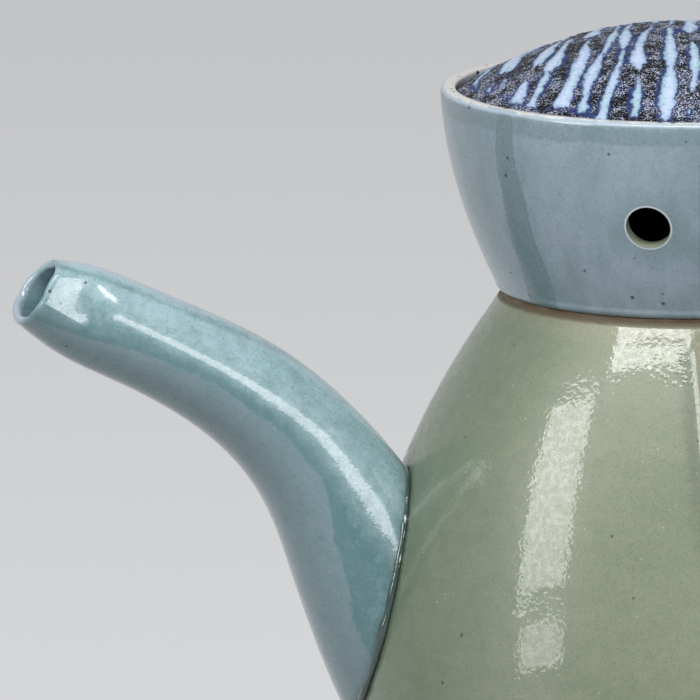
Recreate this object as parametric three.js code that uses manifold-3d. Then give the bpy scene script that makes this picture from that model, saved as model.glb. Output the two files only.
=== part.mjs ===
// A hand-built stoneware cruet: a thrown bell body with a pinched dart at front and back,
// set on a slab base, with a hollow side spout, a pulled strap handle and a hollow domed lid.
// Millimetres, +Z up. The origin is the centre of the base, the spout points along -X,
// the handle along +X, and the front dart lies at -Y.
import * as THREE from "three";
import { ParametricGeometry } from "three/addons/geometries/ParametricGeometry.js";
import { mergeVertices } from "three/addons/utils/BufferGeometryUtils.js";
import Module from "manifold-3d";

// Body
const SEAT_HEIGHT = 99; // plane on which the lid rests
const NECK_RADIUS = 27.9;
const NECK_RING_HEIGHT = 1.4;
const NECK_BORE_RADIUS = 23.8;
const SHOULDER_WIDTH = 10.5; // how far the shoulder leans out before it turns down
const SHOULDER_HEIGHT = 14.5; // and how far down it leans
const BELLY_RADIUS = 52;
const BELLY_HEIGHT = 24;
const BELLY_RISE_LENGTH = 38; // nearly upright stretch above the widest place
const FOOT_RADIUS = 38;
const FOOT_TURN_LENGTH = 12; // nearly upright stretch below it
const FOOT_BULGE_WIDTH = 2.5; // how far the foot bulges between belly and base
const SLAB_THICKNESS = 5;
const BODY_WALL = 4.2;
const DART_HEIGHT = 2.2; // how far the pinched rib stands out
const DART_HALF_WIDTH = 4.2;
const DART_STEEPNESS = 4; // 2 gives the rib a soft flank, more a crisp one
const DART_RISE = 3; // the rib grows over this height below the neck
const DART_FADE_TOP = 84; // and dies away between these two heights
const DART_FADE_BOTTOM = 58;
const PORT_RADIUS = 7; // hole in the wall behind the spout
const JOINT_GAP = 0.3; // room for the slip between a shaped piece and the wall it is cut to

// Spout
const SPOUT_ROOT_HEIGHT = 56;
const SPOUT_REACH = 54.2; // from the wall to the lower lip
const SPOUT_RISE = 45;
const SPOUT_ROOT_WALL = 3;
const SPOUT_LIP_WALL = 1.4;
const SPOUT_LIP_ROUND = 0.5;
const SPOUT_ROOT_WIDTH = 28;
const SPOUT_TAPER = [1, 0.943, 0.879, 0.743, 0.629, 0.529, 0.464, 0.443]; // shares of that width

// Handle
const HANDLE_TOP_HEIGHT = 85;
const HANDLE_LOW_HEIGHT = 36;
const HANDLE_CLEARANCE = 23; // finger room between wall and strap
const HANDLE_THICKNESS = 6.6;
const HANDLE_TOP_WIDTH = 17;
const HANDLE_LOW_WIDTH = 12.5;
const HANDLE_FLARE = 4;
const HANDLE_GROOVE = 1;
const HANDLE_ARCH_HEIGHT = 6.5; // how far it rises above its upper joint
const HANDLE_BOW_LIFT = 6; // its widest place lies this far above its middle
const HANDLE_TOP_TUCK = 6; // from the widest place back to the upper bend
const HANDLE_LOW_TUCK = 8; // and back to the lower bend
const HANDLE_LOW_RISE = 12; // height of the lower bend above its joint
const HANDLE_SINK = 3; // the ends run on into the wall before they are cut to it

// Lid
const RIM_HEIGHT = 30.6; // from the seat to the rim
const RIM_RADIUS = 37.5;
const LID_FOOT_RADIUS = 29.3;
const LID_FOOT_ROUND = 1.3;
const LID_WALL = 2.6;
const LID_FLOOR = 3;
const DOME_HEIGHT = 9.4; // above the rim
const DOME_THICKNESS = 3.2;
const DOME_EDGE_DROP = 0.5; // the dome's edge lies this far below the rim
const LEDGE_DEPTH = 2.7; // the dome's seat lies this far below the rim
const LEDGE_WIDTH = 2.8;
const RIM_WALL = 2.3;
const RIM_ROUND = 0.9;
const VENT_RADIUS = 3.55;
const VENT_HEIGHT = 14.5; // above the seat
const VENT_TURN = THREE.MathUtils.degToRad(20); // from the front towards the spout
const FLANGE_CLEARANCE = 1.2; // play of the locating ring in the neck
const FLANGE_WALL = 2.8;
const FLANGE_DEPTH = 9;
const FLANGE_CHAMFER = 0.8;

// Fineness of the curved surfaces
const TURNED_SEGMENTS = 64;
const OUTLINE_STEPS = 8;
const DART_GATHER = 0.55; // share by which the facets crowd towards the two darts
const WELD_DISTANCE = 1e-4;

const wasm = await Module();
wasm.setup();

const point = (radius, height) => new THREE.Vector2(radius, height);

// A closed solid from a geometry, with shared corners welded and collapsed triangles left out.
function toSolid(geometry) {
  const bare = geometry.clone();
  bare.deleteAttribute("normal");
  bare.deleteAttribute("uv");
  const welded = mergeVertices(bare, WELD_DISTANCE);
  const corners = welded.index.array;
  const kept = [];
  for (let i = 0; i < corners.length; i += 3) {
    const [a, b, c] = corners.slice(i, i + 3);
    if (a !== b && b !== c && c !== a) kept.push(a, b, c);
  }
  const vertProperties = welded.attributes.position.array;
  const triVerts = new Uint32Array(kept);
  return new wasm.Manifold(new wasm.Mesh({ numProp: 3, vertProperties, triVerts }));
}

function toGeometry(solid) {
  const mesh = solid.getMesh();
  const geometry = new THREE.BufferGeometry();
  geometry.setAttribute("position", new THREE.BufferAttribute(mesh.vertProperties, 3));
  geometry.setIndex(new THREE.BufferAttribute(mesh.triVerts, 1));
  geometry.computeVertexNormals();
  return geometry;
}

// A profile of radius and height turned about the upright axis. Angle 0 is the front, at -Y.
function turned(profile) {
  const outward = THREE.ShapeUtils.area(profile) > 0 ? profile : [...profile].reverse();
  return new THREE.LatheGeometry(outward, TURNED_SEGMENTS).rotateX(Math.PI / 2);
}

const turnedRing = (profile) => {
  const outward = THREE.ShapeUtils.area(profile) > 0 ? profile : [...profile].reverse();
  return turned([...outward, outward[0].clone()]);
};

// A surface through rings, each a function from an angle to a point, joined end to end.
function loft(rings, slices, stacks) {
  const place = (u, v, target) => {
    const ring = rings[Math.round(v * stacks) % rings.length];
    target.copy(ring(2 * Math.PI * (u % 1)));
  };
  return new ParametricGeometry(place, slices, stacks);
}

// A line of points, highest first, that can be read by height.
function heightLine(points) {
  const radiusAt = (height) => {
    const next = points.findIndex((p) => p.y <= height);
    const below = points[Math.max(next, 1)];
    const above = points[Math.max(next, 1) - 1];
    const share = (above.y - height) / (above.y - below.y);
    return THREE.MathUtils.lerp(above.x, below.x, share);
  };
  const between = (high, low) => [
    point(radiusAt(high), high),
    ...points.filter((p) => p.y < high - 0.5 && p.y > low + 0.5),
    point(radiusAt(low), low),
  ];
  return { points, radiusAt, between };
}

// The same line moved inwards by the wall, square to the surface.
function inset(points, wall) {
  return points.map((p, i) => {
    const before = points[Math.max(i - 1, 0)];
    const after = points[Math.min(i + 1, points.length - 1)];
    const along = after.clone().sub(before).normalize();
    return point(p.x + along.y * wall, p.y - along.x * wall);
  });
}

// The bell outline, from the seat down to the foot.
function bodyOutline() {
  const shoulder = new THREE.CubicBezierCurve(
    point(NECK_RADIUS, SEAT_HEIGHT),
    point(NECK_RADIUS + SHOULDER_WIDTH, SEAT_HEIGHT - SHOULDER_HEIGHT),
    point(BELLY_RADIUS, BELLY_HEIGHT + BELLY_RISE_LENGTH),
    point(BELLY_RADIUS, BELLY_HEIGHT),
  );
  const foot = new THREE.CubicBezierCurve(
    point(BELLY_RADIUS, BELLY_HEIGHT),
    point(BELLY_RADIUS, BELLY_HEIGHT - FOOT_TURN_LENGTH),
    point((BELLY_RADIUS + FOOT_RADIUS) / 2 + FOOT_BULGE_WIDTH, 0.8 * SLAB_THICKNESS),
    point(FOOT_RADIUS, 0),
  );
  const upper = shoulder.getPoints(OUTLINE_STEPS);
  const lower = foot.getPoints(OUTLINE_STEPS - 3);
  return heightLine([...upper, ...lower.slice(1)]);
}

const outline = bodyOutline();
const hollow = heightLine(inset(outline.points, BODY_WALL));
const wallTop = SEAT_HEIGHT - NECK_RING_HEIGHT;

// How far the dart lifts the wall at an angle from the front and a height.
function dartLift(angle, height) {
  const across = Math.abs(Math.sin(angle)) * outline.radiusAt(height);
  const ridge = Math.exp(-((across / DART_HALF_WIDTH) ** DART_STEEPNESS));
  const grow = 1 - THREE.MathUtils.smoothstep(height, wallTop - DART_RISE, wallTop);
  const fade = THREE.MathUtils.smoothstep(height, DART_FADE_BOTTOM, DART_FADE_TOP);
  return DART_HEIGHT * ridge * grow * fade;
}

// Crowds the facets towards the darts, then pinches the wall outwards along them.
function pinchDarts(geometry) {
  const position = geometry.attributes.position;
  for (let i = 0; i < position.count; i += 1) {
    const even = Math.atan2(position.getX(i), -position.getY(i));
    const angle = even - (DART_GATHER * Math.sin(2 * even)) / 2;
    const height = position.getZ(i);
    const radius = Math.hypot(position.getX(i), position.getY(i)) + dartLift(angle, height);
    position.setXYZ(i, radius * Math.sin(angle), -radius * Math.cos(angle), height);
  }
  return geometry;
}

function bodyWall() {
  const outer = outline.between(wallTop, SLAB_THICKNESS);
  const inner = hollow.between(wallTop, SLAB_THICKNESS);
  const wall = toSolid(pinchDarts(turnedRing([...outer, ...inner.reverse()])));
  const drill = new THREE.CylinderGeometry(PORT_RADIUS, PORT_RADIUS, BELLY_RADIUS, 24)
    .rotateZ(Math.PI / 2)
    .translate(-BELLY_RADIUS, 0, SPOUT_ROOT_HEIGHT);
  return toGeometry(wall.subtract(toSolid(drill)));
}

// The space the body fills, grown by the joint gap, to which spout and handle are cut.
function bodyCutter() {
  const grown = inset(outline.points, -JOINT_GAP);
  const top = point(0, SEAT_HEIGHT);
  const bottom = point(0, grown.at(-1).y);
  return toSolid(turned([top, ...grown, bottom]));
}

function baseSlab() {
  const edge = outline.between(SLAB_THICKNESS, 0);
  return turned([point(0, SLAB_THICKNESS), ...edge, point(0, 0)]);
}

function neckRing() {
  const top = point(outline.radiusAt(SEAT_HEIGHT), SEAT_HEIGHT);
  const bottom = point(outline.radiusAt(wallTop), wallTop);
  const bore = [point(NECK_BORE_RADIUS, wallTop), point(NECK_BORE_RADIUS, SEAT_HEIGHT)];
  return turnedRing([top, bottom, ...bore]);
}

// The spout's upper and lower lines, from inside the body to the bevelled mouth,
// as shares of its reach away from the wall and of its rise above the root.
const SPOUT_UPPER = [
  [-0.2, 0.18], [-0.08, 0.4], [0.05, 0.58], [0.18, 0.72],
  [0.346, 0.849], [0.566, 0.973], [0.75, 1.067], [0.874, 1.096],
];
const SPOUT_LOWER = [
  [-0.03, -0.62], [0.085, -0.416], [0.21, -0.02], [0.291, 0.247],
  [0.428, 0.467], [0.65, 0.649], [0.852, 0.771], [1, 0.907],
];

function spoutLines() {
  const root = outline.radiusAt(SPOUT_ROOT_HEIGHT);
  const place = ([out, up]) =>
    point(-root - out * SPOUT_REACH, SPOUT_ROOT_HEIGHT + up * SPOUT_RISE);
  const last = SPOUT_TAPER.length - 1;
  const halfWidth = (share, i) => point(i / last, (share * SPOUT_ROOT_WIDTH) / 2);
  return {
    upper: new THREE.SplineCurve(SPOUT_UPPER.map(place)),
    lower: new THREE.SplineCurve(SPOUT_LOWER.map(place)),
    width: new THREE.SplineCurve(SPOUT_TAPER.map(halfWidth)),
  };
}

// One oval ring of the spout, drawn in from the outer surface and pushed out past the mouth.
function spoutRing({ upper, lower, width }, share, drawnIn, pushed) {
  const top = upper.getPoint(share);
  const bottom = lower.getPoint(share);
  const middle = top.clone().add(bottom).multiplyScalar(0.5);
  const reach = top.clone().sub(bottom).multiplyScalar(0.5);
  const up = reach.clone().normalize();
  const halfHeight = reach.length() - drawnIn;
  const halfWidth = width.getPoint(share).y - drawnIn;
  return (angle) =>
    new THREE.Vector3(
      middle.x + up.x * halfHeight * Math.cos(angle) - up.y * pushed,
      halfWidth * Math.sin(angle),
      middle.y + up.y * halfHeight * Math.cos(angle) + up.x * pushed,
    );
}

function spout(cutter) {
  const lines = spoutLines();
  const steps = 13;
  const shares = Array.from({ length: steps + 1 }, (_, i) => i / steps);
  const wallAt = (share) => THREE.MathUtils.lerp(SPOUT_ROOT_WALL, SPOUT_LIP_WALL, share);
  const outer = shares.map((share) => spoutRing(lines, share, 0, 0));
  const lip = spoutRing(lines, 1, SPOUT_LIP_WALL / 2, SPOUT_LIP_ROUND);
  const inner = shares.map((share) => spoutRing(lines, share, wallAt(share), 0)).reverse();
  const rings = [...outer, lip, ...inner];
  const tube = toSolid(loft(rings, 32, rings.length));
  return toGeometry(tube.subtract(cutter));
}

// The strap's centre line, from the shoulder out, round and back to the belly.
function handleLine() {
  const top = outline.radiusAt(HANDLE_TOP_HEIGHT);
  const low = outline.radiusAt(HANDLE_LOW_HEIGHT);
  const middleHeight = (HANDLE_TOP_HEIGHT + HANDLE_LOW_HEIGHT) / 2 + HANDLE_BOW_LIFT;
  const bow = outline.radiusAt(middleHeight) + HANDLE_CLEARANCE + HANDLE_THICKNESS / 2;
  return new THREE.CatmullRomCurve3([
    new THREE.Vector3(top - HANDLE_SINK, 0, HANDLE_TOP_HEIGHT - HANDLE_SINK / 3),
    new THREE.Vector3(top + 0.36 * (bow - top), 0, HANDLE_TOP_HEIGHT + HANDLE_ARCH_HEIGHT),
    new THREE.Vector3(bow - HANDLE_TOP_TUCK, 0, HANDLE_TOP_HEIGHT),
    new THREE.Vector3(bow, 0, middleHeight),
    new THREE.Vector3(bow - HANDLE_LOW_TUCK, 0, HANDLE_LOW_HEIGHT + HANDLE_LOW_RISE),
    new THREE.Vector3(low - HANDLE_SINK, 0, HANDLE_LOW_HEIGHT),
  ]);
}

// One ring of the strap: a flat oval with a shallow thumb groove on its outer face.
function handleRing(line, share, size) {
  const centre = line.getPoint(share);
  const along = line.getTangent(share);
  const outward = new THREE.Vector3(-along.z, 0, along.x);
  const flare = HANDLE_FLARE * (Math.exp(-share / 0.07) + Math.exp((share - 1) / 0.07));
  const width = THREE.MathUtils.lerp(HANDLE_TOP_WIDTH, HANDLE_LOW_WIDTH, share) + flare;
  const thickness = HANDLE_THICKNESS + flare / 2;
  return (angle) => {
    const groove = HANDLE_GROOVE * Math.max(Math.cos(angle), 0) ** 4;
    const lift = (thickness / 2) * Math.cos(angle) - groove;
    return centre
      .clone()
      .addScaledVector(outward, size * lift)
      .add(new THREE.Vector3(0, (-size * width * Math.sin(angle)) / 2, 0));
  };
}

function handle(cutter) {
  const line = handleLine();
  const steps = 22;
  const rings = [handleRing(line, 0, 0)];
  for (let i = 0; i <= steps; i += 1) rings.push(handleRing(line, i / steps, 1));
  rings.push(handleRing(line, 1, 0));
  const strap = toSolid(loft(rings, 20, rings.length - 1));
  return toGeometry(strap.subtract(cutter));
}

// Lid heights above the base
const lidRim = SEAT_HEIGHT + RIM_HEIGHT;
const ledge = lidRim - LEDGE_DEPTH;
const flangeOuter = NECK_BORE_RADIUS - FLANGE_CLEARANCE;
const flangeInner = flangeOuter - FLANGE_WALL;

// The flaring cup line of the lid, from its foot up to just below the rim.
function cupLine() {
  const flare = RIM_RADIUS - LID_FOOT_RADIUS;
  return new THREE.CubicBezierCurve(
    point(LID_FOOT_RADIUS, SEAT_HEIGHT + LID_FOOT_ROUND),
    point(LID_FOOT_RADIUS + flare / 2, SEAT_HEIGHT + 0.31 * RIM_HEIGHT),
    point(RIM_RADIUS - 0.3, SEAT_HEIGHT + 0.66 * RIM_HEIGHT),
    point(RIM_RADIUS, lidRim - RIM_ROUND),
  ).getPoints(OUTLINE_STEPS);
}

// Points on a quarter round between two corners, about a centre.
function quarterRound(centre, radius, from, to, steps) {
  return Array.from({ length: steps + 1 }, (_, i) => {
    const angle = THREE.MathUtils.lerp(from, to, i / steps);
    return point(centre.x + radius * Math.cos(angle), centre.y + radius * Math.sin(angle));
  });
}

function lidWall() {
  const cup = cupLine();
  const footCentre = point(LID_FOOT_RADIUS - LID_FOOT_ROUND, SEAT_HEIGHT + LID_FOOT_ROUND);
  const foot = quarterRound(footCentre, LID_FOOT_ROUND, -Math.PI / 2, 0, 4).slice(0, -1);
  const seatRadius = RIM_RADIUS - RIM_WALL;
  const rimCentre = point(RIM_RADIUS - RIM_ROUND, lidRim - RIM_ROUND);
  const rim = quarterRound(rimCentre, RIM_ROUND, 0, Math.PI / 2, 3).slice(1);
  const inner = inset(cup, -LID_WALL)
    .filter((p) => p.y > SEAT_HEIGHT + LID_FLOOR + 1 && p.y < ledge - 2 * LEDGE_WIDTH)
    .reverse();
  const floorCorner = point(inner.at(-1).x - 1, SEAT_HEIGHT + LID_FLOOR);
  const profile = [
    point(flangeInner, SEAT_HEIGHT),
    ...foot,
    ...cup,
    ...rim,
    point(seatRadius + RIM_ROUND / 2, lidRim),
    point(seatRadius, lidRim - RIM_ROUND / 2),
    point(seatRadius, ledge),
    point(seatRadius - LEDGE_WIDTH, ledge),
    point(seatRadius - LEDGE_WIDTH, ledge - LEDGE_WIDTH / 2),
    ...inner,
    floorCorner,
    point(flangeInner, SEAT_HEIGHT + LID_FLOOR),
  ];
  const wall = toSolid(turnedRing(profile));
  const drill = new THREE.CylinderGeometry(VENT_RADIUS, VENT_RADIUS, RIM_RADIUS, 28)
    .translate(0, -RIM_RADIUS, 0)
    .rotateZ(-VENT_TURN)
    .translate(0, 0, SEAT_HEIGHT + VENT_HEIGHT);
  return toGeometry(wall.subtract(toSolid(drill)));
}

// The low cap that closes the lid, thrown as a shallow bowl and set on the ledge.
function lidDome() {
  const edgeRadius = RIM_RADIUS - RIM_WALL - JOINT_GAP;
  const edgeHeight = lidRim - DOME_EDGE_DROP;
  const crown = DOME_HEIGHT + DOME_EDGE_DROP;
  const underRadius = edgeRadius - LEDGE_WIDTH;
  const underCrown = lidRim + DOME_HEIGHT - DOME_THICKNESS - ledge;
  const cap = (radius, base, rise) =>
    Array.from({ length: OUTLINE_STEPS + 1 }, (_, i) => {
      const share = i / OUTLINE_STEPS;
      return point(radius * share, base + rise * (1 - share ** 2.1));
    });
  const outer = cap(edgeRadius, edgeHeight, crown);
  const under = cap(underRadius, ledge, underCrown).reverse();
  return turned([...outer, point(edgeRadius, ledge), ...under]);
}

// The locating ring that drops into the neck and keeps the lid centred.
function lidFlange() {
  const bottom = SEAT_HEIGHT - FLANGE_DEPTH;
  return turnedRing([
    point(flangeOuter, SEAT_HEIGHT),
    point(flangeOuter, bottom + FLANGE_CHAMFER),
    point(flangeOuter - FLANGE_CHAMFER, bottom),
    point(flangeInner, bottom),
    point(flangeInner, SEAT_HEIGHT),
  ]);
}

const glaze = (color, roughness) =>
  new THREE.MeshStandardMaterial({ color, roughness, metalness: 0 });

const sageCeladon = glaze("#8e9580", 0.32);
const sageFoot = glaze("#747e6d", 0.45);
const thinBrown = glaze("#635e58", 0.5);
const blueCeladon = glaze("#7f9aa1", 0.22);
const greyBlueCeladon = glaze("#81939d", 0.28);
const speckledDark = glaze("#44484e", 0.55);
const bareClay = glaze("#b3a68f", 0.8);

function piece(name, geometry, material) {
  const mesh = new THREE.Mesh(geometry, material);
  mesh.name = name;
  return mesh;
}

const cutter = bodyCutter();
const vessel = new THREE.Group();
vessel.add(
  piece("base_slab", baseSlab(), sageFoot),
  piece("body_wall", bodyWall(), sageCeladon),
  piece("neck_ring", neckRing(), thinBrown),
  piece("spout", spout(cutter), blueCeladon),
  piece("handle", handle(cutter), blueCeladon),
);

const lid = new THREE.Group();
lid.add(
  piece("lid_wall", lidWall(), greyBlueCeladon),
  piece("lid_dome", lidDome(), speckledDark),
  piece("lid_flange", lidFlange(), bareClay),
);

const cruet = new THREE.Group();
cruet.name = "cruet";
cruet.add(vessel, lid);

export default cruet;
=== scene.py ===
import math

import bmesh
import bpy
import numpy as np
from bpy.props import FloatProperty, FloatVectorProperty, IntProperty, PointerProperty
from mathutils import Matrix, Quaternion, Vector, noise


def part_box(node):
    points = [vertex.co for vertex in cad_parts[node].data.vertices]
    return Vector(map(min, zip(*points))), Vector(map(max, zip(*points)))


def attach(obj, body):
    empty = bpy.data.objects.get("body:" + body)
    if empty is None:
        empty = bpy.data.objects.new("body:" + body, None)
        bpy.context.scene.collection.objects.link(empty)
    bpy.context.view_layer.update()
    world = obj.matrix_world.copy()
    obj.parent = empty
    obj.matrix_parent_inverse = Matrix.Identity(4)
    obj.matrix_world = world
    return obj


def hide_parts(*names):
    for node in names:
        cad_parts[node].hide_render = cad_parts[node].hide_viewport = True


bl_info = {
    "name": "Celadon Cruet",
    "version": (1, 0, 0),
    "blender": (4, 5, 0),
    "location": "3D View > Sidebar > Cruet",
    "description": "Dresses the cruet's frame with its thrown, pinched and glazed clay pieces",
    "category": "Add Mesh",
}

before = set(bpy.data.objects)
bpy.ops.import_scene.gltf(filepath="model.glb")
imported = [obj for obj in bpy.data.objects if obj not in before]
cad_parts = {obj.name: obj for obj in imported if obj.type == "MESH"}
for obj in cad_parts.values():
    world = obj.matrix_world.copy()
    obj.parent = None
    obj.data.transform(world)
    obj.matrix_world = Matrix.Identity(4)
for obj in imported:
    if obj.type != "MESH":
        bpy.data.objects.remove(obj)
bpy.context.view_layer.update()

MM = 0.001
FULL_TURN = 2 * math.pi
RING_LOW, RING_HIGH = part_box("neck_ring")
SLAB_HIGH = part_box("base_slab")[1]
WALL_LOW, WALL_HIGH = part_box("body_wall")
LID_LOW, LID_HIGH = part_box("lid_wall")
DOME_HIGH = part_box("lid_dome")[1]
FLANGE_LOW, FLANGE_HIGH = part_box("lid_flange")

# The spout's upper and lower lines as shares of its reach and rise, from inside the body
# to the bevelled mouth, and shares of its root width at the same places.
SPOUT_UPPER = np.array([
    [-0.2, 0.18], [-0.08, 0.4], [0.05, 0.58], [0.18, 0.72],
    [0.346, 0.849], [0.566, 0.973], [0.75, 1.067], [0.874, 1.096],
])
SPOUT_LOWER = np.array([
    [-0.03, -0.62], [0.085, -0.416], [0.21, -0.02], [0.291, 0.247],
    [0.428, 0.467], [0.65, 0.649], [0.852, 0.771], [1, 0.907],
])
SPOUT_TAPER = np.array([1, 0.943, 0.879, 0.743, 0.629, 0.529, 0.464, 0.443])

# The waist above its root, and the facet a thumb pressed beside its mouth, with their
# places as shares of its length.
SPOUT_WAIST = 1.8 * MM
WAIST_MIDDLE, WAIST_LENGTH = 0.29, 0.14
THUMB_SLOPE = math.radians(20)
THUMB_DEPTH = 0.5 * MM
THUMB_REACH = (0.8, 0.9)

# How deep the joined pieces stand in the wall, and how high the glaze pooled there lies.
SPOUT_SINK = 1.4 * MM
HANDLE_SINK = 1.2 * MM
BEAD_RISE = 0.25 * MM

# The spacing of the throwing rings. The dome's edge, the power of the radius by which it
# falls from its crown, how high its streaks stand, and how many millimetres inside or
# outside a streak still count.
THROWING_RINGS = 6.1 * MM
DOME_EDGE = LID_HIGH.z - 0.5 * MM
DOME_POWER = 2.1
STREAK_RISE = 0.18 * MM
STREAK_LIMIT = 2.0

# Small touches of colour in the glazes and the clay
GLAZE_IOR = 1.5
PALE_SPECK = (0.5, 0.58, 0.56)
IRON_SPECK = (0.03, 0.035, 0.025)
TEAL_SPECK = (0.03, 0.07, 0.11)
COBALT_SPECK = (0.01, 0.02, 0.05)
CUP_SPECK = (0.015, 0.03, 0.07)
# The vent's pale edge is thin glaze with a painted highlight.
VENT_EDGE_THIN_GLAZE_AND_HIGHLIGHT = (0.62, 0.68, 0.75)
VENT_BORE = (0.28, 0.31, 0.24)
SALT = (0.56, 0.61, 0.72)
STREAK_MIDDLE = (0.62, 0.7, 0.88)
OLIVE_BROWN = (0.118, 0.1, 0.064)
CLAY_GRIT = (0.33, 0.26, 0.19)
CLAY_BLUSH = (0.55, 0.44, 0.32)
CLAY_SPECK = (0.07, 0.05, 0.04)
POOL_SHINE = (0.035, 0.085, 0.07)

# The stage, in metres. The neck's middle stands to the right of the picture's centre and
# above it, by shares of the view's width.
FLOOR_REACH = 6
FLOOR_COLOUR = (0.27, 0.275, 0.28)
FLOOR_GLOW = (0.97, 0.98, 1)
FLOOR_GLOW_STRENGTH = 0.47
ROOM_LIGHT = (0.05, 0.052, 0.055)
ROOM_SEEN = (0.55, 0.56, 0.575)
LAMP_DISTANCE = 1.1
LAMP_AIM = Vector((0, 0, 0.07))
CAMERA_AZIMUTH = -8
CAMERA_ELEVATION = 10
CAMERA_DISTANCE = 1.8
VIEW_WIDTH = 0.105
NECK_TO_RIGHT = 0.4857
NECK_ABOVE = 0.09


def length(name, default, description):
    return FloatProperty(name=name, default=default, unit="LENGTH", precision=5,
                         description=description)


def colour(name, default, description):
    return FloatVectorProperty(name=name, default=default, subtype="COLOR", size=3,
                               min=0, max=1, description=description)


class CruetSizes(bpy.types.PropertyGroup):
    seat_height: length("Seat height", RING_HIGH.z, "Plane on which the lid rests")
    neck_radius: length("Neck radius", 27.9 * MM, "Outside of the neck at the seat")
    neck_bore: length("Neck bore", 23.8 * MM, "Inside of the neck ring")
    shoulder_run: length("Shoulder run", 10.5 * MM, "How far the shoulder leans out")
    shoulder_drop: length("Shoulder drop", 14.5 * MM, "How far down it leans")
    belly_radius: length("Belly radius", WALL_HIGH.y, "Widest radius of the body")
    belly_height: length("Belly height", 24 * MM, "Height of the widest place")
    belly_fullness: length("Belly fullness", 38 * MM, "Nearly upright stretch above it")
    foot_turn: length("Foot turn", 12 * MM, "Nearly upright stretch below it")
    foot_bulge: length("Foot bulge", 2.5 * MM, "How far the foot bulges above the base")
    foot_radius: length("Foot radius", 38 * MM, "Radius of the flat underside")
    body_wall: length("Body wall", 4.2 * MM, "Thickness of the thrown wall")
    dart_height: length("Dart height", 2.2 * MM, "How far the pinched rib stands out")
    dart_half_width: length("Dart half width", 4.2 * MM, "Half width of the rib")
    dart_rise: length("Dart rise", 3 * MM, "The rib grows over this height below the neck")
    dart_fade_top: length("Dart fade top", 84 * MM, "Height below which the rib dies away")
    dart_fade_bottom: length("Dart fade bottom", 58 * MM, "Height where the rib is gone")
    port_radius: length("Port radius", 7 * MM, "Hole in the wall behind the spout")
    spout_root: length("Spout root height", 56 * MM, "Height of the spout's root")
    spout_reach: length("Spout reach", 54.2 * MM, "From the wall to the lower lip")
    spout_width: length("Spout root width", 28 * MM, "Width of the spout at its root")
    spout_rise: length("Spout rise", 45 * MM, "From the root to about the mouth")
    spout_root_wall: length("Spout root wall", 3 * MM, "Wall at the root")
    spout_lip_wall: length("Spout lip wall", 1.4 * MM, "Wall at the lip")
    handle_top: length("Handle top", 85 * MM, "Height of the upper joint")
    handle_low: length("Handle low", 36 * MM, "Height of the lower joint")
    handle_gap: length("Handle clearance", 23 * MM, "Finger room inside the strap")
    handle_thickness: length("Handle thickness", 6.6 * MM, "Thickness of the strap")
    handle_top_width: length("Handle top width", 17 * MM, "Width at the top")
    handle_low_width: length("Handle low width", 12.5 * MM, "Width at the lower end")
    handle_flare: length("Handle flare", 4 * MM, "Extra width where it joins the wall")
    handle_groove: length("Handle groove", 1 * MM, "Depth of the thumb groove")
    rim_radius: length("Rim radius", 37.5 * MM, "Outside of the lid's rim")
    rim_wall: length("Rim wall", 2.3 * MM, "Thickness of the rim above the ledge")
    lid_foot_radius: length("Lid foot radius", 29.3 * MM, "Outside of the lid's foot")
    lid_foot_round: length("Lid foot round", 1.3 * MM, "Rounding of its lower edge")
    rim_round: length("Rim round", 0.9 * MM, "Rounding of the rim's edge")
    lid_wall: length("Lid wall", 2.6 * MM, "Thickness of the lid's wall")
    lid_floor: length("Lid floor", 3 * MM, "Thickness of the lid's floor")
    ledge_depth: length("Ledge depth", 2.7 * MM, "Dome seat below the rim")
    ledge_width: length("Ledge width", 2.8 * MM, "Width of the dome's seat")
    vent_radius: length("Vent radius", 3.55 * MM, "Radius of the vent hole")
    vent_height: length("Vent height", 14.5 * MM, "Vent above the seat")
    flange_wall: length("Flange wall", 2.8 * MM, "Thickness of the locating ring")
    dome_thickness: length("Dome thickness", 3.2 * MM, "Thickness of the dome")
    vent_turn: FloatProperty(name="Vent turn", default=math.radians(20), subtype="ANGLE",
                             description="From the front towards the spout")
    streaks: IntProperty(name="Streaks", default=25, min=3,
                         description="Number of glaze streaks across the dome")


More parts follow.
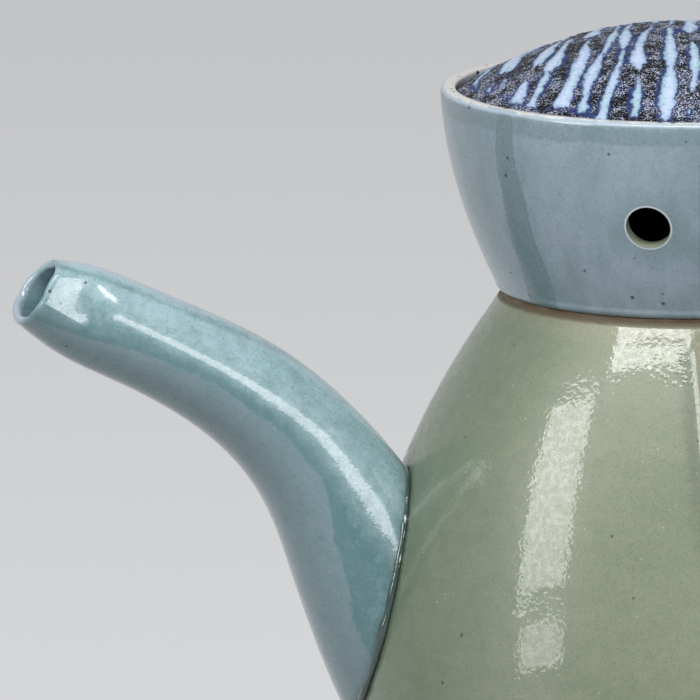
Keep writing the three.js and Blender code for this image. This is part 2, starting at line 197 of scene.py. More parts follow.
class CruetColours(bpy.types.PropertyGroup):
    sage: colour("Sage", (0.235, 0.272, 0.18), "Celadon on the body")
    # Deep sage also paints shade on the spout's side of the body.
    sage_deep: colour("Deep sage", (0.125, 0.168, 0.105), "Where that glaze is thick")
    sage_warm: colour("Warm sage", (0.31, 0.275, 0.185), "Where it is thin over the clay")
    blue: colour("Blue", (0.34, 0.5, 0.54), "Celadon of spout and handle where thin")
    # Deep blue also paints the spout's underside shade and the dark band above its painted floor
    # reflection.
    blue_deep: colour("Deep blue", (0.09, 0.2, 0.215), "The same where it pools")
    # Paints the pale floor's reflection on the lower side of spout and handle, and flecks the
    # lid's wall.
    grey_blue_and_floor_reflection: colour("Veil", (0.188, 0.28, 0.31), "Opaque grey-blue second glaze on the spout")
    cup: colour("Cup", (0.3, 0.39, 0.455), "Grey-blue glaze of the lid's wall")
    # Deep cup also paints shade on the spout's side of the lid's wall.
    cup_deep: colour("Deep cup", (0.135, 0.215, 0.235), "Teal run on the lid's wall")
    cream: colour("Cream", (0.72, 0.72, 0.67), "White glaze on the rim")
    # Lavender also paints pale lines of reflected light along the spout's upper and lower lines.
    lavender: colour("Lavender", (0.47, 0.56, 0.66), "Thin glaze on the edges of spout and lid")
    tan: colour("Tan", (0.52, 0.44, 0.34), "Clay showing through on the darts' crests")
    brown: colour("Brown", (0.17, 0.122, 0.078), "Thin glaze of the neck ring")
    clay: colour("Clay", (0.46, 0.385, 0.285), "Unglazed stoneware")
    char: colour("Charcoal", (0.006, 0.006, 0.008), "Dry dark ground of the dome")
    streak: colour("Streak", (0.42, 0.54, 0.75), "Pale streaks on the dome")
    streak_green: colour("Green streak", (0.35, 0.53, 0.64), "The same where it runs green")
    cobalt: colour("Cobalt", (0.024, 0.042, 0.15), "Edge of the streaks")
    pool: colour("Pool", (0.012, 0.03, 0.024), "Glaze pooled in the joints")


def settings():
    scene = bpy.context.scene
    return scene.cruet_sizes, scene.cruet_colours


# Curves and profiles, as arrays of radius and height

def bezier(p0, p1, p2, p3, count):
    t = np.linspace(0, 1, count)[:, None]
    p0, p1, p2, p3 = (np.array(p, float) for p in (p0, p1, p2, p3))
    near = (1 - t) ** 3 * p0 + 3 * (1 - t) ** 2 * t * p1
    return near + 3 * (1 - t) * t ** 2 * p2 + t ** 3 * p3


def arc(centre, radius, start, end, count):
    turn = np.radians(np.linspace(start, end, count))
    return np.column_stack([centre[0] + radius * np.cos(turn),
                            centre[1] + radius * np.sin(turn)])


def around(count):
    """Angles evenly spaced round a full turn."""
    return np.linspace(0, FULL_TURN, count, endpoint=False)


def smooth_line(knots, values):
    """A natural cubic spline through the values, as a function of an array of knots."""
    knots = np.asarray(knots, float)
    values = np.asarray(values, float).reshape(len(knots), -1)
    step = np.diff(knots)
    rise = np.diff(values, axis=0) / step[:, None]
    system = np.eye(len(knots))
    right = np.zeros_like(values)
    for i in range(1, len(knots) - 1):
        system[i, i - 1:i + 2] = step[i - 1], 2 * (step[i - 1] + step[i]), step[i]
        right[i] = 6 * (rise[i] - rise[i - 1])
    bend = np.linalg.solve(system, right)

    def at(places):
        places = np.asarray(places, float)
        i = np.clip(np.searchsorted(knots, places) - 1, 0, len(step) - 1)
        h = step[i][..., None]
        a = (knots[i + 1] - places)[..., None] / h
        b = 1 - a
        curved = ((a ** 3 - a) * bend[i] + (b ** 3 - b) * bend[i + 1]) * h ** 2 / 6
        return a * values[i] + b * values[i + 1] + curved

    return at


def body_outline(sizes, count=150):
    """The bell from the seat down to the foot."""
    belly = (sizes.belly_radius, sizes.belly_height)
    shoulder = bezier(
        (sizes.neck_radius, sizes.seat_height),
        (sizes.neck_radius + sizes.shoulder_run, sizes.seat_height - sizes.shoulder_drop),
        (sizes.belly_radius, sizes.belly_height + sizes.belly_fullness),
        belly, count)
    foot = bezier(
        belly,
        (sizes.belly_radius, sizes.belly_height - sizes.foot_turn),
        ((sizes.belly_radius + sizes.foot_radius) / 2 + sizes.foot_bulge, 0.8 * SLAB_HIGH.z),
        (sizes.foot_radius, 0), count // 3)
    return np.vstack([shoulder, foot[1:]])


def radius_at(line, height):
    """Radius of an outline that runs downwards."""
    return np.interp(height, line[::-1, 1], line[::-1, 0])


def between(line, high, low, spacing=0.7 * MM):
    """The part of an outline between two heights, in even steps."""
    heights = np.linspace(high, low, max(int((high - low) / spacing), 2))
    return np.column_stack([radius_at(line, heights), heights])


def inset(line, wall):
    """The outline moved inwards, square to itself."""
    along = np.gradient(line, axis=0)
    along /= np.linalg.norm(along, axis=1)[:, None]
    return line + wall * np.column_stack([along[:, 1], -along[:, 0]])


def soften(profile, radius, steps=5):
    """Rounds every sharp corner of a closed profile."""
    profile = np.asarray(profile, float)
    softened = []
    for i, corner in enumerate(profile):
        before = profile[i - 1] - corner
        after = profile[(i + 1) % len(profile)] - corner
        reach = min(np.linalg.norm(before), np.linalg.norm(after)) / 2
        before /= np.linalg.norm(before)
        after /= np.linalg.norm(after)
        nearly_straight = float(before @ after) < -0.9
        on_the_axis = corner[0] < 1e-6
        if nearly_straight or on_the_axis:
            softened.append(corner)
            continue
        cut = min(radius, reach)
        start, end = corner + before * cut, corner + after * cut
        for t in np.linspace(0, 1, steps):
            softened.append((1 - t) ** 2 * start + 2 * t * (1 - t) * corner + t ** 2 * end)
    return np.array(softened)


def densify(profile, spacing):
    """Adds points to the long stretches of a closed profile."""
    dense = []
    for here, there in zip(profile, np.roll(profile, -1, axis=0)):
        count = max(int(np.linalg.norm(there - here) / spacing), 1)
        shares = np.arange(count)[:, None] / count
        dense.append(here + (there - here) * shares)
    return np.vstack(dense)


# Meshes

def grid_mesh(name, points, wrap_rows=True, wrap_columns=True):
    """A quad mesh from an array of rows by columns by three."""
    rows, columns = points.shape[:2]
    row = np.arange(rows if wrap_rows else rows - 1)
    column = np.arange(columns if wrap_columns else columns - 1)
    r, c = np.meshgrid(row, column, indexing="ij")
    r_next, c_next = (r + 1) % rows, (c + 1) % columns
    faces = np.stack([r * columns + c, r * columns + c_next,
                      r_next * columns + c_next, r_next * columns + c], -1).reshape(-1, 4)
    mesh = bpy.data.meshes.new(name)
    mesh.from_pydata(points.reshape(-1, 3), [], faces)
    mesh.update()
    piece = bpy.data.objects.new(name, mesh)
    bpy.context.collection.objects.link(piece)
    return piece


def shade(piece):
    """Smooth surfaces that stay crisp at their real corners."""
    piece.data.shade_smooth()
    piece.data.set_sharp_from_angle(angle=math.radians(40))


def close_poles(piece):
    """Welds rows that have shrunk to one point, turns faces outwards and smooths them."""
    made = bmesh.new()
    made.from_mesh(piece.data)
    bmesh.ops.remove_doubles(made, verts=made.verts, dist=1e-7)
    bmesh.ops.dissolve_degenerate(made, dist=1e-8, edges=made.edges)
    bmesh.ops.recalc_face_normals(made, faces=made.faces)
    made.to_mesh(piece.data)
    made.free()
    shade(piece)


def turn_profile(name, profile, segments, relief=None):
    """Turns a closed profile about the upright axis. Angle 0 is the front, at -Y."""
    along = np.roll(profile, -1, axis=0) - np.roll(profile, 1, axis=0)
    along /= np.maximum(np.linalg.norm(along, axis=1), 1e-12)[:, None]
    area = np.sum(profile[:, 0] * np.roll(profile[:, 1], -1)
                  - np.roll(profile[:, 0], -1) * profile[:, 1])
    outward = np.column_stack([along[:, 1], -along[:, 0]]) * np.sign(area)
    turn, radius = np.meshgrid(around(segments), profile[:, 0])
    height = np.repeat(profile[:, 1:2], segments, axis=1)
    if relief is not None:
        lift = relief(turn, radius, height, outward[:, :1])
        radius = radius + lift * outward[:, :1]
        height = height + lift * outward[:, 1:]
    points = np.stack([-radius * np.sin(turn), -radius * np.cos(turn), height], -1)
    piece = grid_mesh(name, points)
    close_poles(piece)
    return piece


def positions(piece):
    """The piece's points, as an array of rows of three."""
    flat = np.empty(len(piece.data.vertices) * 3)
    piece.data.vertices.foreach_get("co", flat)
    return flat.reshape(-1, 3)


def mark(piece, name, values):
    """Gives the piece's points a value that its material can read by name."""
    layer = piece.data.attributes.new(name, "FLOAT", "POINT")
    layer.data.foreach_set("value", np.asarray(values, np.float32))


def turn_of(points):
    """Angle from the front towards the spout."""
    return np.arctan2(-points[..., 0], -points[..., 1])


def waves(turn, height, seed, size, count=14):
    """Soft unevenness over a turned surface, between about -1 and 1."""
    dice = np.random.default_rng(seed)
    total = np.zeros(np.broadcast(turn, height).shape)
    for _ in range(count):
        lobes = dice.integers(1, 9)
        rise = dice.normal(0, 1) / size
        total += np.sin(lobes * turn + rise * height + dice.uniform(0, FULL_TURN))
    return total / math.sqrt(count)


def smoothstep(value, low, high):
    t = np.clip((value - low) / (high - low), 0, 1)
    return t * t * (3 - 2 * t)


def window(value, start, full, last, end):
    """0 before the start and after the end, and 1 between full and last."""
    return smoothstep(value, start, full) * (1 - smoothstep(value, last, end))


def cut_out(piece, cutter):
    """Takes the cutter out of the piece and deletes it."""
    knife = piece.modifiers.new("cut", "BOOLEAN")
    knife.operation = "DIFFERENCE"
    knife.solver = "EXACT"
    knife.object = cutter
    bpy.context.view_layer.objects.active = piece
    with bpy.context.temp_override(object=piece, active_object=piece):
        bpy.ops.object.modifier_apply(modifier=knife.name)
    bpy.data.objects.remove(cutter)
    shade(piece)


def dress(piece, body, node, material):
    """Gives the piece its material, its body and the solid that it stands for, if any."""
    piece.data.materials.clear()
    piece.data.materials.append(material)
    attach(piece, body)
    if node:
        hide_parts(node)


# Node materials

def add_node(tree, kind, **settings):
    """Adds a shader node and sets its menus and switches."""
    node = tree.nodes.new("ShaderNode" + kind)
    for name, value in settings.items():
        setattr(node, name, value)
    return node


class Glaze:
    """A material under construction. Lengths in its textures are millimetres."""

    def __init__(self, name):
        self.material = bpy.data.materials.new(name)
        self.material.use_nodes = True
        self.tree = self.material.node_tree
        self.shader = self.tree.nodes["Principled BSDF"]
        place = add_node(self.tree, "TexCoord").outputs["Object"]
        self.place = self.vector("MULTIPLY", place, (1 / MM,) * 3)

    def link(self, source, socket):
        """Joins a socket to another one, or gives it its own number or colour."""
        if isinstance(source, bpy.types.NodeSocket):
            self.tree.links.new(source, socket)
        elif socket.type == "RGBA":
            socket.default_value = (*tuple(source)[:3], 1)
        else:
            socket.default_value = source

    def node(self, kind, sources, **settings):
        """Adds a node and fills the sockets that are given by their place or name."""
        node = add_node(self.tree, kind, **settings)
        for socket, source in sources.items():
            self.link(source, node.inputs[socket])
        return node

    def vector(self, operation, first, second=(0, 0, 0), output="Vector"):
        node = self.node("VectorMath", {0: first, 1: second}, operation=operation)
        return node.outputs[output]

    def maths(self, operation, first, second=0.0, third=0.0, clamp=False):
        node = self.node("Math", {0: first, 1: second, 2: third}, operation=operation,
                         use_clamp=clamp)
        return node.outputs[0]

    def times(self, first, second):
        return self.maths("MULTIPLY", first, second)

    def sway(self, value, texture, depth, clamp=False):
        """Moves a value up and down with a texture that runs about one half."""
        centred = self.maths("SUBTRACT", texture, 0.5)
        return self.maths("MULTIPLY_ADD", centred, depth, value, clamp)

    def noise(self, size, detail, roughness, stretch=(1, 1, 1)):
        """Cloudy noise whose lumps are about the given size across."""
        place = self.vector("MULTIPLY", self.place, stretch)
        node = self.node("TexNoise", {"Vector": place, "Scale": 1 / size,
                                      "Detail": detail, "Roughness": roughness})
        return node.outputs["Fac"]

    def range(self, value, low, high, to_low=0.0, to_high=1.0, smooth=True):
        """Maps a value between two limits to 0 and 1, or to two other numbers."""
        sources = dict(enumerate((value, low, high, to_low, to_high)))
        steps = "SMOOTHSTEP" if smooth else "LINEAR"
        return self.node("MapRange", sources, interpolation_type=steps).outputs[0]

    def mix(self, share, first, second):
        sources = {"Factor": share, "A": first, "B": second}
        return self.node("Mix", sources, data_type="RGBA").outputs["Result"]

    def over(self, base, colour, texture, low, high, strength=1):
        """Lays a colour over the base where a texture runs from low to high."""
        return self.mix(self.range(texture, low, high, 0, strength), base, colour)

    def named(self, name):
        """A value that the piece carries on its points."""
        return self.node("Attribute", {}, attribute_name=name).outputs["Fac"]

    def height(self):
        return self.node("SeparateXYZ", {0: self.place}).outputs["Z"]

    def radius(self):
        level = self.vector("MULTIPLY", self.place, (1, 1, 0))
        return self.vector("LENGTH", level, output="Value")

    def bore(self, place, axis):
        """Distance from a bore's axis, and distance along it from its middle."""
        offset = self.vector("SUBTRACT", self.place, tuple(place / MM))
        aside = self.vector("CROSS_PRODUCT", offset, tuple(axis))
        along = self.vector("DOT_PRODUCT", offset, tuple(axis), "Value")
        return self.vector("LENGTH", aside, output="Value"), self.maths("ABSOLUTE", along)

    def cells(self, spacing):
        """Random cells. The distance from their middles is counted in spacings."""
        sources = {"Vector": self.place, "Scale": 1 / spacing}
        return self.node("TexVoronoi", sources).outputs

    def specks(self, spacing, largest, share):
        """Round iron specks: one cell in a few holds one, each of its own size."""
        cells = self.cells(spacing)
        chance = self.node("SeparateColor", {0: cells["Color"]}).outputs[0]
        size = self.range(chance, 1 - share, 1, 0, largest / spacing, smooth=False)
        return self.range(self.maths("SUBTRACT", size, cells["Distance"]), -0.02, 0.04)

    def speckled(self, base, colour, spacing, largest, share, strength=1.0):
        """The base with specks of a colour on it."""
        specks = self.specks(spacing, largest, share)
        return self.mix(self.times(specks, strength), base, colour)

    def pebbles(self, spacing):
        """Round drops of glaze, side by side."""
        return self.range(self.cells(spacing)["Distance"], 0.5, 0.1)

    def bump(self, *layers):
        """Stacks bumps, each a texture and its depth in millimetres."""
        normal = None
        for texture, depth in layers:
            node = self.node("Bump", {"Height": texture, "Distance": depth * MM,
                                      "Strength": 1})
            if normal is not None:
                self.link(normal, node.inputs["Normal"])
            normal = node.outputs["Normal"]
        for socket in ("Normal", "Coat Normal"):
            self.link(normal, self.shader.inputs[socket])

    def finish(self, base, roughness, coat=0.0, coat_roughness=0.05, specular=0.5):
        """Fills the shader and returns the material."""
        sources = {
            "Base Color": base, "Roughness": roughness, "IOR": GLAZE_IOR,
            "Specular IOR Level": specular, "Coat Weight": coat,
            "Coat Roughness": coat_roughness, "Coat IOR": GLAZE_IOR}
        for socket, source in sources.items():
            self.link(source, self.shader.inputs[socket])
        return self.material


def sage_glaze(colours):
    """Celadon over grey stoneware, finely mottled, warm where it runs thin, and darker where shade
    is painted on the spout's side.
    """
    g = Glaze("sage_celadon")
    grain = g.noise(0.3, 3, 0.7)
    fleck = g.noise(2.4, 4, 0.65)
    glaze_depth_and_shade = g.sway(g.sway(0.25, g.noise(18, 5, 0.6), 0.9), fleck, 0.7)
    # Darker towards the bottom; the marked depth also adds painted shade on the spout's side.
    low = g.range(g.height(), 8, 75, 0.25, 0)
    glaze_depth_and_shade = g.maths("ADD", glaze_depth_and_shade, g.maths("ADD", low, g.named("glaze_depth_and_shade")), clamp=True)
    base = g.mix(glaze_depth_and_shade, colours.sage, colours.sage_deep)
    warm = g.sway(g.named("thin"), fleck, 0.7)
    base = g.over(base, colours.sage_warm, warm, 0.15, 0.95, 0.85)
    crest = g.sway(g.named("crest"), fleck, 0.7)
    base = g.over(base, colours.tan, crest, 0.35, 0.7, 0.9)
    flecked = g.maths("MULTIPLY_ADD", glaze_depth_and_shade, -0.4, 0.65)
    base = g.mix(g.times(g.range(grain, 0.5, 0.68), flecked), base, colours.sage_warm)
    base = g.over(base, colours.sage_deep, grain, 0.5, 0.34, 0.55)
    base = g.mix(g.named("pool"), base, colours.pool)
    base = g.speckled(base, PALE_SPECK, spacing=1.1, largest=0.17, share=0.3, strength=0.5)
    base = g.speckled(base, IRON_SPECK, spacing=2.6, largest=0.34, share=0.14, strength=0.8)
    level = (0.6, 0.6, 1)
    pebbles = g.times(g.pebbles(0.9), g.named("pebbled"))
    g.bump((g.noise(9, 2, 0.5, level), 0.08), (g.noise(2.2, 2, 0.5, level), 0.024),
           (g.noise(0.7, 1, 0.5), 0.02), (pebbles, 0.05))
    gloss = g.range(g.noise(0.9, 5, 0.75), 0.36, 0.6, 1, 0.5)
    rough = g.range(grain, 0.3, 0.7, 0.32, 0.46)
    return g.finish(base, rough, coat=gloss, coat_roughness=0.04)


def blue_glaze(colours):
    """Blue-green celadon that breaks pale on ridges and pools teal in the hollows, with painted
    shade on the spout's underside.

    Its lower side carries a painted reflection of the pale floor up to a crisp wavy line, with a
    painted dark band above it, and painted pale lines of reflected light run along the spout's
    upper and lower lines.
    """
    g = Glaze("blue_celadon")
    blotch = g.noise(2.2, 5, 0.7)
    grain = g.noise(0.45, 3, 0.72)
    glaze_depth_and_shade = g.sway(g.named("glaze_depth_and_shade"), g.noise(7, 5, 0.62), 0.9)
    glaze_depth_and_shade = g.sway(glaze_depth_and_shade, blotch, 1.5, clamp=True)
    base = g.mix(glaze_depth_and_shade, colours.blue, colours.blue_deep)
    base = g.over(base, colours.lavender, grain, 0.54, 0.76, 0.25)
    base = g.over(base, colours.blue_deep, grain, 0.47, 0.3, 0.4)
    # Painted reflection of the pale floor below a frayed line, with a painted dark band just above
    # it.
    frayed_reflection_edge = g.sway(g.named("grey_blue_and_floor_reflection"), g.noise(1.3, 5, 0.7), 1.2)
    base = g.over(base, colours.blue_deep, frayed_reflection_edge, -2.6, -0.1, 0.75)
    grey_blue_and_floor_reflection = g.over(colours.grey_blue_and_floor_reflection, colours.blue_deep, blotch, 0.45, 0.68, 0.4)
    grey_blue_and_floor_reflection = g.over(grey_blue_and_floor_reflection, colours.lavender, grain, 0.54, 0.76, 0.2)
    grey_blue_and_floor_reflection = g.over(grey_blue_and_floor_reflection, colours.blue_deep, grain, 0.47, 0.3, 0.25)
    base = g.over(base, grey_blue_and_floor_reflection, frayed_reflection_edge, -0.1, 0.2, 0.92)
    # Painted reflected light along the spout's upper and lower lines, and thin glaze at its lip
    # and along the handle's edges.
    base = g.mix(g.named("edge"), base, colours.lavender)
    base = g.mix(g.named("pool"), base, colours.pool)
    base = g.speckled(base, TEAL_SPECK, spacing=1.3, largest=0.17, share=0.2, strength=0.6)
    base = g.speckled(base, COBALT_SPECK, spacing=2.7, largest=0.34, share=0.2, strength=0.9)
    g.bump((g.noise(6, 2, 0.5), 0.05), (g.noise(1.2, 2, 0.5), 0.012),
           (g.noise(0.35, 1, 0.5), 0.008))
    gloss = g.range(g.noise(0.3, 3, 0.7), 0.38, 0.6, 1, 0.55)
    rough = g.range(grain, 0.3, 0.7, 0.24, 0.36)
    return g.finish(base, rough, coat=gloss, coat_roughness=0.035)


def cup_glaze(colours, sizes, vent_place, vent_axis):
    """Grey-blue glaze of the lid's wall, with teal runs, a cream rim, painted shade on the spout's
    side and a pale vent edge that is thin glaze with a painted highlight.
    """
    g = Glaze("grey_blue_celadon")
    cloud = g.noise(8, 5, 0.62, (1, 1, 0.45))
    grain = g.noise(0.45, 3, 0.7)
    fray = g.noise(1.1, 5, 0.7)
    below_rim = g.maths("SUBTRACT", LID_HIGH.z / MM, g.height())
    base = g.over(colours.cup, colours.cup_deep, cloud, 0.42, 0.7, 0.55)
    fleck = g.noise(1.6, 4, 0.65, (1, 1, 0.6))
    base = g.over(base, colours.grey_blue_and_floor_reflection, fleck, 0.45, 0.7, 0.35)
    # Painted shade on the spout's side of the lid's wall.
    base = g.mix(g.times(g.named("glaze_depth_and_shade"), 0.3), base, colours.cup_deep)
    band = g.sway(below_rim, cloud, 2.5)
    pooled_band = g.times(g.range(band, 0.4, 1.6), g.range(band, 3.7, 3.2, 0, 0.5))
    base = g.mix(pooled_band, base, colours.cup_deep)
    run = g.sway(g.named("run"), fray, 1.3)
    base = g.over(base, colours.cup_deep, run, -0.12, 0.2, 0.8)
    base = g.over(base, colours.lavender, grain, 0.52, 0.78, 0.4)
    base = g.over(base, colours.cup_deep, grain, 0.46, 0.28, 0.4)
    edge = g.sway(below_rim, fray, 0.5)
    base = g.over(base, colours.lavender, edge, 0.85, 0.3, 0.75)
    inward = g.maths("SUBTRACT", sizes.rim_radius / MM, g.radius())
    top = g.sway(g.maths("SUBTRACT", inward, below_rim), fray, 1.2)
    cream = g.range(g.sway(top, g.noise(3, 4, 0.6), 2.2), 0.3, 0.8)
    cream = g.times(cream, g.range(below_rim, 4.2, 3.4))
    base = g.mix(cream, base, colours.cream)
    base = g.mix(g.times(g.specks(1.7, 0.75, 0.35), cream), base, colours.char)
    base = g.speckled(base, CUP_SPECK, spacing=2.2, largest=0.36, share=0.3, strength=0.9)
    aside, along = g.bore(vent_place, vent_axis)
    near = g.range(along, 6, 5)
    vent = sizes.vent_radius / MM
    # Round the vent: a darker teal halo, a pale edge of thin glaze with a painted highlight, and
    # the bore's clay.
    for outer, inner, strength, colour in (
            (vent + 4, vent, 0.3, colours.cup_deep),
            (vent + 0.08, vent, 1, VENT_EDGE_THIN_GLAZE_AND_HIGHLIGHT),
            (vent - 0.14, vent - 0.2, 1, VENT_BORE)):
        share = g.times(near, g.range(aside, outer, inner, 0, strength))
        base = g.mix(share, base, colour)
    g.bump((g.noise(7, 2, 0.5), 0.06), (g.noise(0.8, 2, 0.5), 0.015))
    rough = g.range(grain, 0.3, 0.7, 0.24, 0.36)
    return g.finish(base, rough, coat=0.5, coat_roughness=0.1)


def dome_glaze(colours):
    """Dry, salt-and-pepper dark ground under heavy pale streaks with cobalt edges."""
    g = Glaze("speckled_dark")
    dragged = (1, 0.4, 1)
    coarse = g.noise(3, 4, 0.6, dragged)
    streak = g.sway(g.named("streak"), g.noise(0.8, 5, 0.7, dragged), 1.6)
    streak = g.sway(streak, coarse, 1.8)
    grit = g.noise(0.27, 2, 0.7)
    patch = g.noise(3, 4, 0.65)
    salt = g.maths("ADD", g.range(patch, 0.4, 0.56, -0.07, 0.025), grit)
    ground = g.over(colours.char, colours.cobalt, patch, 0.45, 0.66, 0.5)
    ground = g.over(ground, SALT, salt, 0.535, 0.585, 0.85)
    edge = g.range(coarse, 0.35, 0.62, -0.12, -0.9)
    edge = g.range(streak, edge, g.maths("ADD", edge, 0.4), 0, 0.9)
    base = g.mix(edge, ground, colours.cobalt)
    pale = g.over(colours.streak, colours.streak_green, coarse, 0.44, 0.62)
    pale = g.over(pale, STREAK_MIDDLE, streak, 0.25, 1.1, 0.6)
    pale = g.over(pale, colours.cobalt, g.noise(0.7, 3, 0.7), 0.56, 0.7, 0.45)
    base = g.over(base, pale, streak, -0.14, 0.3)
    g.bump((g.range(streak, -0.3, 0.4), 0.14), (grit, 0.08), (g.noise(1.1, 3, 0.6), 0.08))
    rough = g.range(streak, -0.3, 0.2, 0.55, 0.22)
    return g.finish(base, rough, coat=0.05, coat_roughness=0.1, specular=0.06)


def brown_glaze(colours):
    """Thin iron-brown edge of the neck, which fades to sage where the glaze starts."""
    g = Glaze("thin_brown_glaze")
    cloud = g.noise(1.6, 5, 0.7)
    grit = g.noise(0.4, 3, 0.75)
    line = g.sway(g.sway(g.height(), cloud, 0.3), grit, 0.3)
    top = RING_HIGH.z / MM
    drag = g.noise(0.5, 4, 0.7, (0.12, 0.12, 1))
    base = g.over(colours.brown, colours.tan, drag, 0.4, 0.62, 0.25)
    base = g.over(base, OLIVE_BROWN, line, top - 0.3, top - 0.8)
    faded = (Vector(colours.sage_warm) + Vector(colours.sage_deep)) / 2
    base = g.over(base, faded, line, top - 0.9, top - 1.45)
    g.bump((g.noise(1.2, 3, 0.6), 0.05), (grit, 0.03))
    return g.finish(base, g.range(cloud, 0.3, 0.7, 0.5, 0.65), specular=0.2)


def foot_glaze(colours):
    """The slab's edge keeps a wiped brown line, and its underside is bare clay."""
    g = Glaze("sage_foot")
    cloud = g.noise(3, 5, 0.65)
    grit = g.noise(0.5, 3, 0.75)
    clay = g.over(colours.clay, colours.brown, grit, 0.35, 0.7)
    clay = g.over(clay, colours.sage_warm, g.noise(14, 4, 0.6), 0.4, 0.75, 0.5)
    edge = g.sway(g.height(), cloud, 1.6)
    glaze = g.over(colours.sage, colours.sage_deep, cloud, 0.35, 0.7)
    glaze = g.over(glaze, colours.sage_deep, grit, 0.46, 0.26, 0.5)
    brown_line = g.over(colours.brown, glaze, edge, 1.2, 2.0)
    base = g.over(clay, brown_line, edge, 0.7, 1.1)
    base = g.speckled(base, colours.char, spacing=1.8, largest=0.35, share=0.3)
    g.bump((grit, 0.05), (g.noise(1.6, 3, 0.6), 0.06))
    return g.finish(base, g.range(edge, 0.7, 1.4, 0.82, 0.3))


def bare_clay(colours):
    """Unglazed, iron-speckled stoneware."""
    g = Glaze("bare_clay")
    grit = g.noise(0.45, 3, 0.75)
    base = g.over(colours.clay, CLAY_GRIT, grit, 0.35, 0.72)
    base = g.over(base, CLAY_BLUSH, g.noise(7, 4, 0.6), 0.4, 0.7, 0.5)
    base = g.speckled(base, CLAY_SPECK, spacing=1.6, largest=0.4, share=0.35)
    g.bump((grit, 0.08), (g.noise(1.5, 3, 0.6), 0.05))
    return g.finish(base, g.range(grit, 0.3, 0.7, 0.7, 0.9))


def pooled_glaze(colours):
    """Nearly black green glass that gathers along a joint."""
    g = Glaze("pooled_glaze")
    base = g.mix(g.noise(1.6, 4, 0.6), colours.pool, POOL_SHINE)
    g.bump((g.noise(1.1, 2, 0.5), 0.08))
    return g.finish(base, 0.1, coat=1.0)


# The vessel

def from_darts(line, turn, height):
    """Distance of a place on the wall from the upright plane through both darts."""
    return np.abs(np.sin(turn)) * radius_at(line, height)


def dart_fade(sizes, height):
    """0 on the belly, and 1 where the darts have their full height."""
    return smoothstep(height, sizes.dart_fade_bottom, sizes.dart_fade_top)


def dart_lift(sizes, line, turn, height):
    """How far the pinched darts lift the wall at the front and the back."""
    ridge = np.exp(-(from_darts(line, turn, height) / sizes.dart_half_width) ** 4)
    grow = 1 - smoothstep(height, WALL_HIGH.z - sizes.dart_rise, WALL_HIGH.z)
    return sizes.dart_height * ridge * grow * dart_fade(sizes, height)


def shade_on_spout_side(turn):
    """1 on the side where the spout is, and 0 on the other side: where shade is painted."""
    return window(np.degrees(turn), 25, 80, 100, 150)


def spout_frame(sizes):
    """Functions for the spout's upper line, lower line and half width along its length."""
    root = radius_at(body_outline(sizes), sizes.spout_root)

    def place(shares):
        return np.column_stack([-root - shares[:, 0] * sizes.spout_reach,
                                sizes.spout_root + shares[:, 1] * sizes.spout_rise])

    knots = np.linspace(0, 1, len(SPOUT_UPPER))
    upper = smooth_line(knots, place(SPOUT_UPPER))
    lower = smooth_line(knots, place(SPOUT_LOWER))
    width = smooth_line(knots, SPOUT_TAPER * sizes.spout_width / 2)
    return upper, lower, width


def spout_point(lines, share, turn, drawn_in, pushed=0.0):
    """Points on the spout at shares of its length and angles from its upper line.

    Above its flared root it has a slight waist, and a thumb has pressed a flat facet into
    its near side at the mouth.
    """
    upper, lower, width = lines
    top, bottom = upper(share), lower(share)
    middle, reach = (top + bottom) / 2, (top - bottom) / 2
    half_height = np.linalg.norm(reach, axis=-1)
    up = reach / half_height[..., None]
    high = (half_height - drawn_in) * np.cos(turn)
    waist = SPOUT_WAIST * np.exp(-((share - WAIST_MIDDLE) / WAIST_LENGTH) ** 2)
    wide = (width(share)[..., 0] - waist - drawn_in) * np.sin(turn)
    slope_across, slope_up = math.cos(THUMB_SLOPE), math.sin(THUMB_SLOPE)
    mouth_height = np.linalg.norm(upper(1.0) - lower(1.0)) / 2
    facet = np.hypot(width(1.0)[0] * slope_across, mouth_height * slope_up)
    facet = facet - THUMB_DEPTH - drawn_in
    flat = (high * slope_up - facet) / slope_across
    wide = wide + smoothstep(share, *THUMB_REACH) * np.maximum(flat - wide, 0)
    return np.stack([middle[..., 0] + up[..., 0] * high - up[..., 1] * pushed,
                     wide,
                     middle[..., 1] + up[..., 1] * high + up[..., 0] * pushed], -1)


def above_wall(line, points):
    """Distance of points from the body's wall, measured level."""
    return np.hypot(points[..., 0], points[..., 1]) - radius_at(line, points[..., 2])


def meet_wall(line, surface, turn, low, high, depth, halvings=40):
    """For each angle, the share at which a surface stands that far above the wall."""
    inside, outside = np.full(turn.shape, low), np.full(turn.shape, high)
    for _ in range(halvings):
        middle = (inside + outside) / 2
        out = above_wall(line, surface(middle, turn)) > depth
        outside = np.where(out, middle, outside)
        inside = np.where(out, inside, middle)
    return (inside + outside) / 2


def make_bead(name, path, thickness, seed, thin_end=0.0):
    """A thin uneven roll of pooled glaze along a closed path lying on the wall."""
    dice = np.random.default_rng(seed)
    along = np.roll(path, -1, axis=0) - np.roll(path, 1, axis=0)
    along /= np.linalg.norm(along, axis=1)[:, None]
    outward = path * np.array([1, 1, 0.25])
    outward /= np.linalg.norm(outward, axis=1)[:, None]
    side = np.cross(along, outward)
    side /= np.linalg.norm(side, axis=1)[:, None]
    outward = np.cross(side, along)
    place = around(len(path))
    swell = sum(np.sin(k * place + dice.uniform(0, FULL_TURN)) for k in (3, 5, 8, 13, 21))
    radius = thickness * (1 + 0.11 * swell) * (1 - thin_end * np.cos(place / 2) ** 16)
    turn = around(12)
    ring = (np.cos(turn)[None, :, None] * outward[:, None]
            + np.sin(turn)[None, :, None] * side[:, None])
    piece = grid_mesh(name, path[:, None] + ring * radius[:, None, None])
    close_poles(piece)
    return piece


